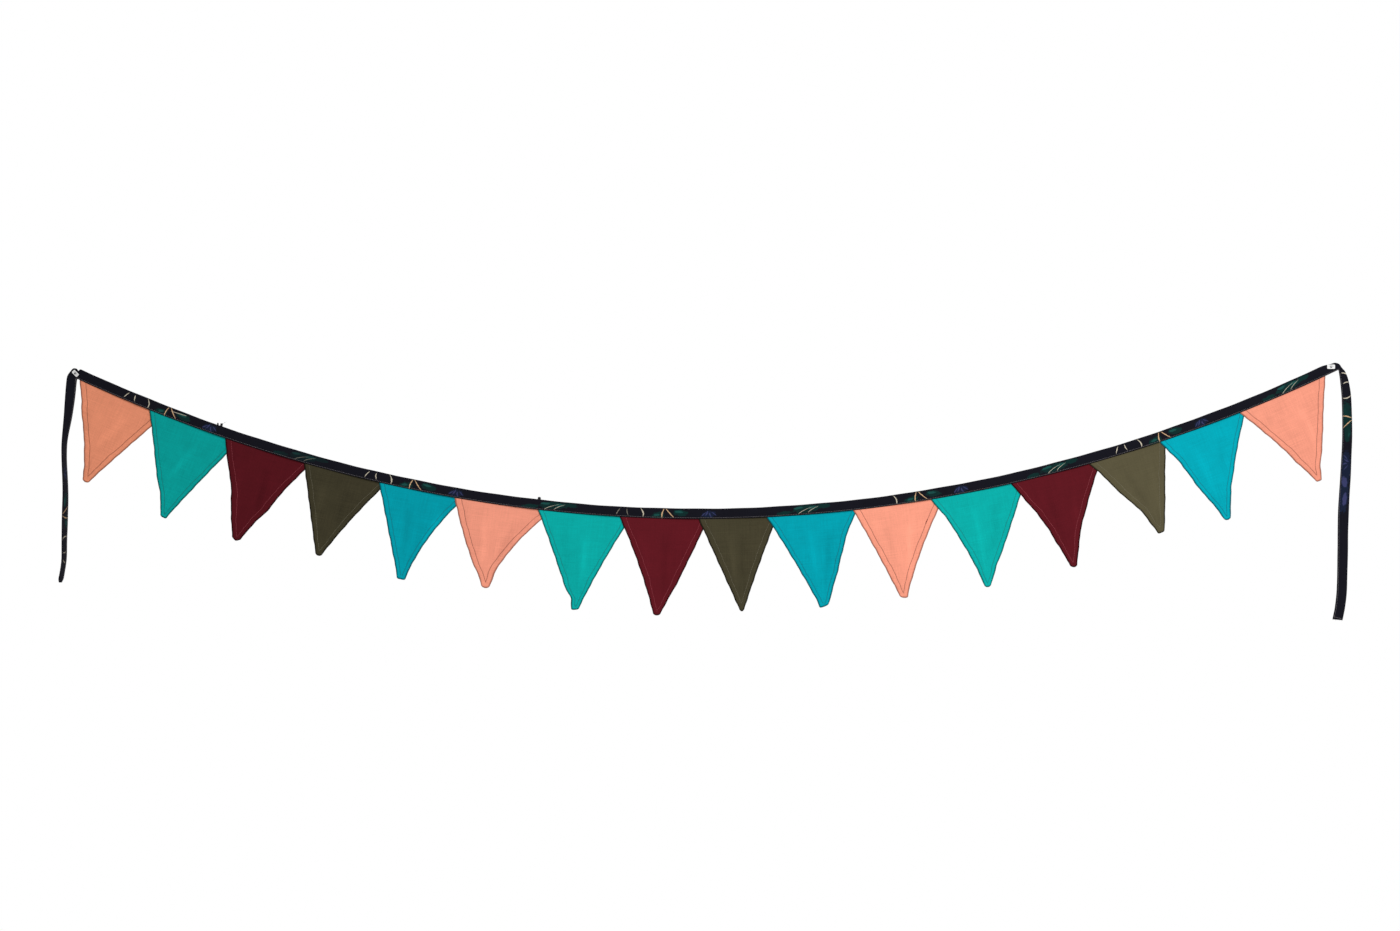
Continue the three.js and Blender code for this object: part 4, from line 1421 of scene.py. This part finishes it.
# %% The tape's layout: cut into rows that lie one above the other, its two ends in a corner
LAYOUT_ROWS = 9
ROW_WIDE = 1.04 * 1.15
ROW_HIGH = 1.06
INSIDE_STEP = 0.6
TAPE_LAYOUT_EDGE = 0.01
END_CORNER = (0.002, 0.002)


def layout_rise(rise):
    around = np.concatenate([rise[:FRONT_POINTS], 2.0 * TAPE_WIDTH - rise[FRONT_POINTS:OUTER_POINTS]])
    inside = 2.0 * TAPE_WIDTH + INSIDE_STEP * np.arange(1, OUTLINE_POINTS - OUTER_POINTS + 2)
    return np.concatenate([around, inside])


def tape_layout():
    per_row = int(np.ceil((len(path) - 1) / LAYOUT_ROWS))
    rise = layout_rise(tape_outline(TAPE_WIDTH, SLOT_FLAGS)[:, 0])
    row_high = ROW_HIGH * rise.max()
    row_wide = ROW_WIDE * tape_length[-1] / LAYOUT_ROWS
    corners = []
    for k in range(len(path) - 1):
        row = k // per_row
        start = tape_length[row * per_row]
        s0, s1 = TAPE_LAYOUT_EDGE + (tape_length[k : k + 2] - start) / row_wide
        share = (rise + row_high * row) / (row_high * LAYOUT_ROWS)
        t = TAPE_LAYOUT_EDGE + share * (1.0 - 2.0 * TAPE_LAYOUT_EDGE)
        for t0, t1 in zip(t[:-1], t[1:]):
            corners += [(s0, t0), (s1, t0), (s1, t1), (s0, t1)]
    return corners + [END_CORNER] * (2 * OUTLINE_POINTS)


layout = tape_layout()
print("layout corners:", len(layout))

# %% Build the tape
faces = tube_faces(len(path), OUTLINE_POINTS)
tape = make_piece("tape_cloth", grid_points.reshape(-1, 3), faces, TAPE_FINISH)
on_front = np.arange(OUTLINE_POINTS) < FRONT_POINTS
printed = ink_places[:, None] + np.where(on_front, 0.0, BACK_SHIFT)[None, :]
zeros = np.zeros_like(rise)
round_tape = np.where(on_front[None, :], rise, 2.0 * TAPE_WIDTH - rise)
store(tape, "cloth", np.stack([tape_length[:, None] + zeros, round_tape, zeros], axis=-1))
ink = np.interp(ink_places, INK_LEFT[:, 0], INK_LEFT[:, 1])[:, None] + zeros
store(tape, "print", np.stack([printed, rise, ink], axis=-1))
store(tape, "seam", np.stack([rise, np.abs(rise - STITCH_LINE), zeros], axis=-1))
lay_out(tape, layout)
fit(tape, "printed_tape", "binding_tape")
print("tape faces:", len(tape.data.polygons))

# %% [markdown]
# ## Stitching and loose threads of the tape
# One row of grey machine stitches near the lower edge closes the tape over the pennants, on both faces, and a
# short row closes the right tie's end. Small dark knots sit on the fold at two places where a thread was tied
# off, a few cut threads stand out of the right end, and thick red stitches mend one peach seam. Loose threads
# are thin bent tubes, and they break the clean outline the way a hand-made thing does.

# %% The row of stitches along the tape
TAPE_THREAD = (0.24, 0.22, 0.235)
END_MARGIN = 4.0
tape_thread = thread_material("tape thread", TAPE_THREAD)


def along_tape(places, vectors):
    return np.stack([np.interp(places, tape_length, vectors[:, axis]) for axis in range(3)], axis=-1)


def tape_stitches(column, facing):
    places = np.arange(END_MARGIN, tape_length[-1] - END_MARGIN, STITCH_PITCH)
    here = along_tape(places, grid_points[:, column])
    along = unit(np.gradient(here, axis=0))
    out = along_tape(places, np.array([stop.outward for stop in path]) * facing)
    out = unit(out - (out * along).sum(axis=1, keepdims=True) * along)
    return stitch_arrays(here, along, out)


groove = [place for place, _ in SIDE_OUTLINE].index(STITCH_LINE)
back_groove = OUTER_POINTS - 1 - groove
runs = [tape_stitches(groove, 1.0), tape_stitches(back_groove, -1.0)]
piece, count = stitch_piece("tape_topstitch", runs, tape_thread)
fit(piece, "printed_tape")
print("stitches on the tape:", count)

# %% Thread tubes: rings set square to a bent line
DARK_THREAD = (0.012, 0.012, 0.016)
TUBE_SIDES = 6
RING_GUIDE = np.array([0.3, 1.0, 0.2])
TUBE_PLY_STEP = 0.8
THREAD_POINTS = 9


def thread_tube(points, radius, taper=0.6):
    along = unit(np.gradient(points, axis=0))
    side = unit(np.cross(along, RING_GUIDE))
    other = np.cross(along, side)
    turn = ring_angles(TUBE_SIDES)
    ring = np.cos(turn)[None, :, None] * side[:, None, :] + np.sin(turn)[None, :, None] * other[:, None, :]
    girth = radius * np.linspace(1.0, taper, len(points))[:, None, None]
    return points[:, None, :] + girth * ring


def join_tubes(name, tubes, material):
    points = np.concatenate([tube.reshape(-1, 3) for tube in tubes])
    faces, ply = [], []
    offset = 0
    for tube in tubes:
        rings = len(tube)
        faces += tube_faces(rings, TUBE_SIDES, offset)
        place = np.repeat(np.arange(rings), TUBE_SIDES) * TUBE_PLY_STEP
        ply.append(np.stack([place, np.tile(np.arange(TUBE_SIDES), rings), 0.0 * place], axis=-1))
        offset += rings * TUBE_SIDES
    piece = make_piece(name, points, faces, material)
    store(piece, "cloth", points)
    store(piece, "ply", np.concatenate(ply))
    return piece


def bent_thread(root, direction, bend, length):
    share = np.linspace(0.0, 1.0, THREAD_POINTS)[:, None]
    return root + direction * length * share + bend * length * share**2


dark_thread = thread_material("dark thread", DARK_THREAD)
print("finish of the loose threads:", dark_thread.name)

# %% Thread knots on the fold, each a tangle of loops with a few tails
Knot = namedtuple("Knot", "x half_wide half_high loops tails")
KNOTS = [
    Knot(-846.0, 2.1, 2.5, 12, (7.5, 4.0)),
    Knot(-853.5, 1.0, 1.7, 6, (2.5,)),
    Knot(-289.0, 2.3, 2.4, 14, (3.0,)),
]
KNOT_RADIUS = 0.5
KNOT_TAPER = 0.9
KNOT_RISE = 0.7
KNOT_POINTS = 22
LOOP_ROUND = 1.9 * np.pi
THREAD_RADIUS = 0.2
chance = np.random.default_rng(11)


def knot_loop(centre, knot):
    turn = np.linspace(0.0, LOOP_ROUND, KNOT_POINTS) + chance.uniform(0.0, 6.0)
    tilt = chance.uniform(0.0, np.pi)
    swing = chance.uniform(-0.7, 0.7)
    across = knot.half_wide * np.cos(turn) * np.cos(tilt)
    outward = knot.half_wide * np.cos(turn) * np.sin(tilt)
    high = knot.half_high * (np.sin(turn) + swing * np.cos(turn)) / np.hypot(1.0, swing)
    return centre + np.stack([across, outward, high], axis=-1)


def fold_place(x):
    near = int(np.argmin(np.abs(centres[between_ties, 0] - x)))
    stop = path[between_ties][near]
    return stop.centre + stop.edgeways * stop.width / 2.0, stop.edgeways


tubes = []
for knot in KNOTS:
    top, upward = fold_place(knot.x)
    centre = top + upward * (KNOT_RISE * knot.half_high)
    tubes += [thread_tube(knot_loop(centre, knot), KNOT_RADIUS, KNOT_TAPER) for _ in range(knot.loops)]
    for length in knot.tails:
        lean = np.array([chance.uniform(0.1, 0.7), chance.uniform(-0.3, 0.1), 0.0])
        curl = np.array([chance.uniform(-0.2, 0.4), 0.0, -0.2])
        tubes.append(thread_tube(bent_thread(centre, upward + lean, curl, length), THREAD_RADIUS))
print("knots:", len(KNOTS), "loops and tails:", len(tubes))

# %% Short cut threads at the right tie's end
END_THREADS = 9
END_PLACES = np.linspace(-0.48, 0.46, END_THREADS)
THREAD_ROOT = 1.5
end = path[-1]
onward = unit(end.centre - path[-2].centre)
for place in END_PLACES:
    facing = TAPE_SIDE * chance.uniform(-0.9, 0.9)
    root = end.centre + end.edgeways * place * end.width + end.outward * facing - onward * THREAD_ROOT
    curl = end.edgeways * (0.5 * place + chance.normal(0.0, 0.12)) + end.outward * chance.normal(0.0, 0.2)
    tubes.append(thread_tube(bent_thread(root, onward, curl, chance.uniform(1.8, 3.2)), THREAD_RADIUS))
threads = join_tubes("tape_thread_ends", tubes, dark_thread)
fit(threads, "printed_tape")
print("threads in all:", len(tubes))

# %% The row that closes the right tie's end
CLOSE_UP = 4.2
CLOSE_MARGIN = 2.6
CLOSE_SUNK = 0.1


def closing_stitches(facing):
    back = int(np.argmin(np.abs(tape_length - (tape_length[-1] - CLOSE_UP))))
    stop = path[back]
    reach = stop.width / 2.0 - CLOSE_MARGIN
    places = np.arange(-reach, reach + 0.1, STITCH_PITCH)
    half = stop.slot + TAPE_SIDE - CLOSE_SUNK
    here = stop.centre + places[:, None] * stop.edgeways + facing * half * stop.outward
    along = np.tile(stop.edgeways, (len(places), 1))
    return stitch_arrays(here, along, np.tile(facing * stop.outward, (len(places), 1)))


runs = [closing_stitches(1.0), closing_stitches(-1.0)]
piece, count = stitch_piece("tie_end_stitches", runs, tape_thread)
fit(piece, "printed_tape")
print("closing stitches:", count)

# %% A few thick dark red stitches that mend one peach seam
MENDED = 11
MEND_FROM_TO = (33.0, 40.0)
MEND_GIRTH = 3.2
MEND_THREAD = (0.14, 0.014, 0.008)
mend = flag_stitches(FLAGS[MENDED - 1], MENDED, "right", 1.0, MEND_FROM_TO, MEND_GIRTH)
mend_thread = thread_material("mending thread", MEND_THREAD)
piece, count = stitch_piece("peach_mending_stitches", [mend], mend_thread)
fit(piece, "peach_cotton")
print("mending stitches:", count)

# %% [markdown]
# ## Clips and nails
# A small moulded clip sits on the tape at each end, with a nail through its middle. A moulded part has a
# rounded rim and a shallow oblong dish round its hole, so its outline is stepped inwards over a few rings and
# the rings are skinned. The nail is a profile turned about its own axis.

# %% Moulded plastic and nail steel
PLASTIC_SHADES = ((0.76, 0.76, 0.755, 1.0), (0.84, 0.84, 0.83, 1.0))
STEEL_SHADES = ((0.16, 0.16, 0.17, 1.0), (0.4, 0.4, 0.41, 1.0))
PLASTIC_CLOUD_SCALE = 220.0
PLASTIC_GRAIN_SCALE = 3500.0
TARNISH_SCALE = 900.0
HARD_SPECULAR = 0.5
STEEL_METALLIC = 0.9


def plastic_material():
    material, tree, shader = new_material("white moulded plastic", HARD_SPECULAR)
    cloudy = noise(tree, object_place(tree), PLASTIC_CLOUD_SCALE, 3.0)
    grain = noise(tree, object_place(tree), PLASTIC_GRAIN_SCALE, 2.0)
    feed(tree, shader["Base Color"], mix_colour(tree, cloudy, *PLASTIC_SHADES))
    feed(tree, shader["Roughness"], calc(tree, "MULTIPLY_ADD", cloudy, 0.2, 0.28))
    raise_surface(tree, shader, grain, 0.02)
    return material


def steel_material():
    material, tree, shader = new_material("nail steel", HARD_SPECULAR)
    tarnish = noise(tree, object_place(tree), TARNISH_SCALE, 3.0)
    feed(tree, shader["Base Color"], mix_colour(tree, tarnish, *STEEL_SHADES))
    shader["Metallic"].default_value = STEEL_METALLIC
    feed(tree, shader["Roughness"], calc(tree, "MULTIPLY_ADD", tarnish, 0.3, 0.25))
    raise_surface(tree, shader, tarnish, 0.03)
    return material


PLASTIC = plastic_material()
STEEL = steel_material()
print("finishes:", PLASTIC.name, "and", STEEL.name)

# %% The clips: place, size and turn, and the outline of a plate
Clip = namedtuple("Clip", "side x z long short turn")
CLIPS = [
    Clip("left", -1098.8, -5.8, 12.4, 6.8, -46.0),
    Clip("right", 1098.7, 5.8, 14.0, 7.7, 0.0),
]
CLIP_CORNER = 1.8
CORNER_LOSS = 1.2
ROUND_POINTS = 64


def quarter_signs(values):
    return np.sign(np.round(values, 9))


def plate_outline(clip, inset):
    turn = ring_angles(ROUND_POINTS)
    corner = CLIP_CORNER - min(inset, CORNER_LOSS)
    half_long = clip.long / 2.0 - inset - corner
    half_short = clip.short / 2.0 - inset - corner
    x = quarter_signs(np.cos(turn)) * half_long + corner * np.cos(turn)
    z = quarter_signs(np.sin(turn)) * half_short + corner * np.sin(turn)
    return np.stack([x, z], axis=-1)


print("left plate:", np.round(np.ptp(plate_outline(CLIPS[0], 0.0), axis=0), 1), "mm")

# %% Rings of a plate: inset and depth over its rim, then radius, reach to each end and depth of its recess
CLIP_RINGS = [
    (0.35, 0.0),
    (0.1, 0.12),
    (0.0, 0.4),
    (0.0, 1.3),
    (0.12, 1.65),
    (0.4, 1.9),
    (0.8, 2.0),
    (1.2, 1.98),
]
RECESS_RINGS = [
    (1.9, 1.6, 1.9),
    (1.7, 1.6, 1.6),
    (1.5, 1.55, 1.25),
    (1.2, 1.5, 1.2),
    (1.1, 0.0, 1.2),
    (1.1, 0.0, 0.0),
]
print("rings of a plate:", len(CLIP_RINGS) + len(RECESS_RINGS))

# %% A clip plate, skinned from ring to ring and back to the first
CLIP_BACK = -4.2


def turned_in_place(clip, flat, depth):
    angle = np.radians(clip.turn)
    x = clip.x + flat[:, 0] * np.cos(angle) - flat[:, 1] * np.sin(angle)
    z = clip.z + flat[:, 0] * np.sin(angle) + flat[:, 1] * np.cos(angle)
    return np.stack([x, np.full_like(x, CLIP_BACK - depth), z], axis=-1)


def clip_piece(clip):
    turn = ring_angles(ROUND_POINTS)
    round_hole = np.stack([np.cos(turn), np.sin(turn)], axis=-1)
    ends = np.stack([quarter_signs(np.cos(turn)), np.zeros(ROUND_POINTS)], axis=-1)
    rings = [turned_in_place(clip, plate_outline(clip, inset), depth) for inset, depth in CLIP_RINGS]
    for radius, reach, depth in RECESS_RINGS:
        rings.append(turned_in_place(clip, radius * round_hole + reach * ends, depth))
    grid = np.arange(len(rings) * ROUND_POINTS).reshape(len(rings), ROUND_POINTS)
    beside = np.roll(grid, -1, axis=1)
    onward = np.roll(grid, -1, axis=0)
    corner = np.roll(beside, -1, axis=0)
    faces = np.stack([grid, onward, corner, beside], axis=-1).reshape(-1, 4).tolist()
    return make_piece(clip.side + "_clip_plate", np.concatenate(rings), faces, PLASTIC)


print("hole in a plate:", 2.0 * RECESS_RINGS[-1][0], "mm")

# %% A turned nail: radius and depth from the wall
NAIL_PROFILE = [
    (0.55, 0.0),
    (0.8, -0.25),
    (0.8, -6.3),
    (1.0, -6.45),
    (1.55, -6.5),
    (1.7, -6.62),
    (1.7, -6.95),
    (1.58, -7.12),
    (1.3, -7.28),
    (0.9, -7.42),
    (0.45, -7.49),
]
NAIL_SIDES = 32


def nail_ring(clip, radius, depth):
    turn = ring_angles(NAIL_SIDES)
    x = clip.x + radius * np.cos(turn)
    z = clip.z + radius * np.sin(turn)
    return np.stack([x, np.full(NAIL_SIDES, depth), z], axis=-1)


def nail_piece(clip):
    points = np.concatenate([nail_ring(clip, radius, depth) for radius, depth in NAIL_PROFILE])
    faces = tube_faces(len(NAIL_PROFILE), NAIL_SIDES)
    return make_piece(clip.side + "_clip_nail", points, faces, STEEL)


print("head of a nail:", 2.0 * max(radius for radius, depth in NAIL_PROFILE), "mm")

# %% Both clips, each with its nail
for clip in CLIPS:
    plate = clip_piece(clip)
    fit(plate, "white_plastic", clip.side + "_clip")
    nail = nail_piece(clip)
    fit(nail, "nail_steel", clip.side + "_nail")
    print(clip.side, "plate:", len(plate.data.polygons), "faces, its nail:", len(nail.data.polygons), "faces")

# %% [markdown]
# ## Studio
# The bunting is seen square on, from far enough away that nothing is drawn out of shape. One large soft light
# stands in front of it on the right, a second one fills the back, and the surroundings are white. The pale
# floor is a wide disc well below the bunting. It ends before it would show from the front, so it is seen only
# from higher up.

# %% Camera
VIEW_WIDE = 2.45
VIEW_MIDDLE_X = -0.0056
VIEW_MIDDLE_Z = -0.167
CAMERA_AWAY = 6.0
FACE_DEPTH = 0.005
SENSOR = 36.0
eye = bpy.data.objects.new("camera", bpy.data.cameras.new("camera"))
bpy.context.collection.objects.link(eye)
eye.location = (VIEW_MIDDLE_X, -CAMERA_AWAY, VIEW_MIDDLE_Z)
eye.rotation_euler = (np.pi / 2.0, 0.0, 0.0)
eye.data.sensor_width = SENSOR
eye.data.lens = SENSOR * (CAMERA_AWAY - FACE_DEPTH) / VIEW_WIDE
bpy.context.scene.camera = eye
print("lens:", round(eye.data.lens, 1), "mm")

# %% Soft lights


def soft_light(name, place, aim, size, power):
    lamp = bpy.data.lights.new(name, "AREA")
    lamp.shape = "RECTANGLE"
    lamp.size = size
    lamp.size_y = size
    lamp.energy = power
    holder = bpy.data.objects.new(name, lamp)
    bpy.context.collection.objects.link(holder)
    holder.location = place
    holder.rotation_euler = (Vector(aim) - Vector(place)).to_track_quat("-Z", "Y").to_euler()
    return holder


lights = [
    soft_light("right window", (1.4, -3.2, 1.6), (0.3, 0.0, -0.2), 2.0, 121.0),
    soft_light("back fill", (0.0, 3.0, 1.2), (0.0, 0.0, -0.2), 2.4, 90.0),
]
print("soft lights:", len(lights))

# %% White surroundings
SURROUND_LIGHT = 0.3
world = bpy.data.worlds.new("white studio")
bpy.context.scene.world = world
world.use_nodes = True
tree = world.node_tree
backdrop = tree.nodes["Background"]
backdrop.inputs["Color"].default_value = (1.0, 1.0, 1.0, 1.0)
seen = add_node(tree, "LightPath")["Is Camera Ray"]
strength = calc(tree, "MULTIPLY_ADD", seen, 1.0 - SURROUND_LIGHT, SURROUND_LIGHT)
feed(tree, backdrop.inputs["Strength"], strength)
bpy.context.scene.view_settings.view_transform = "Standard"
print("light from the surroundings:", SURROUND_LIGHT)

# %% Pale floor
FLOOR_DROP = -1.9
FLOOR_MIDDLE_Y = -4.0
FLOOR_RADIUS = 10.0
FLOOR_POINTS = 128
FLOOR_SHADES = ((0.84, 0.84, 0.83, 1.0), (0.88, 0.88, 0.87, 1.0))
FLOOR_SPECULAR = 0.2
FLOOR_ROUGHNESS = 0.8
floor_material, tree, shader = new_material("pale floor", FLOOR_SPECULAR)
feed(tree, shader["Base Color"], mix_colour(tree, noise(tree, object_place(tree), 3.0), *FLOOR_SHADES))
shader["Roughness"].default_value = FLOOR_ROUGHNESS
turn = ring_angles(FLOOR_POINTS)
floor_x = FLOOR_RADIUS * np.cos(turn)
floor_y = FLOOR_MIDDLE_Y + FLOOR_RADIUS * np.sin(turn)
floor_points = np.stack([floor_x, floor_y, np.full(FLOOR_POINTS, FLOOR_DROP)], axis=-1) / MM
floor = make_piece("floor", floor_points, [list(range(FLOOR_POINTS))], floor_material)
print("floor at", FLOOR_DROP, "m")
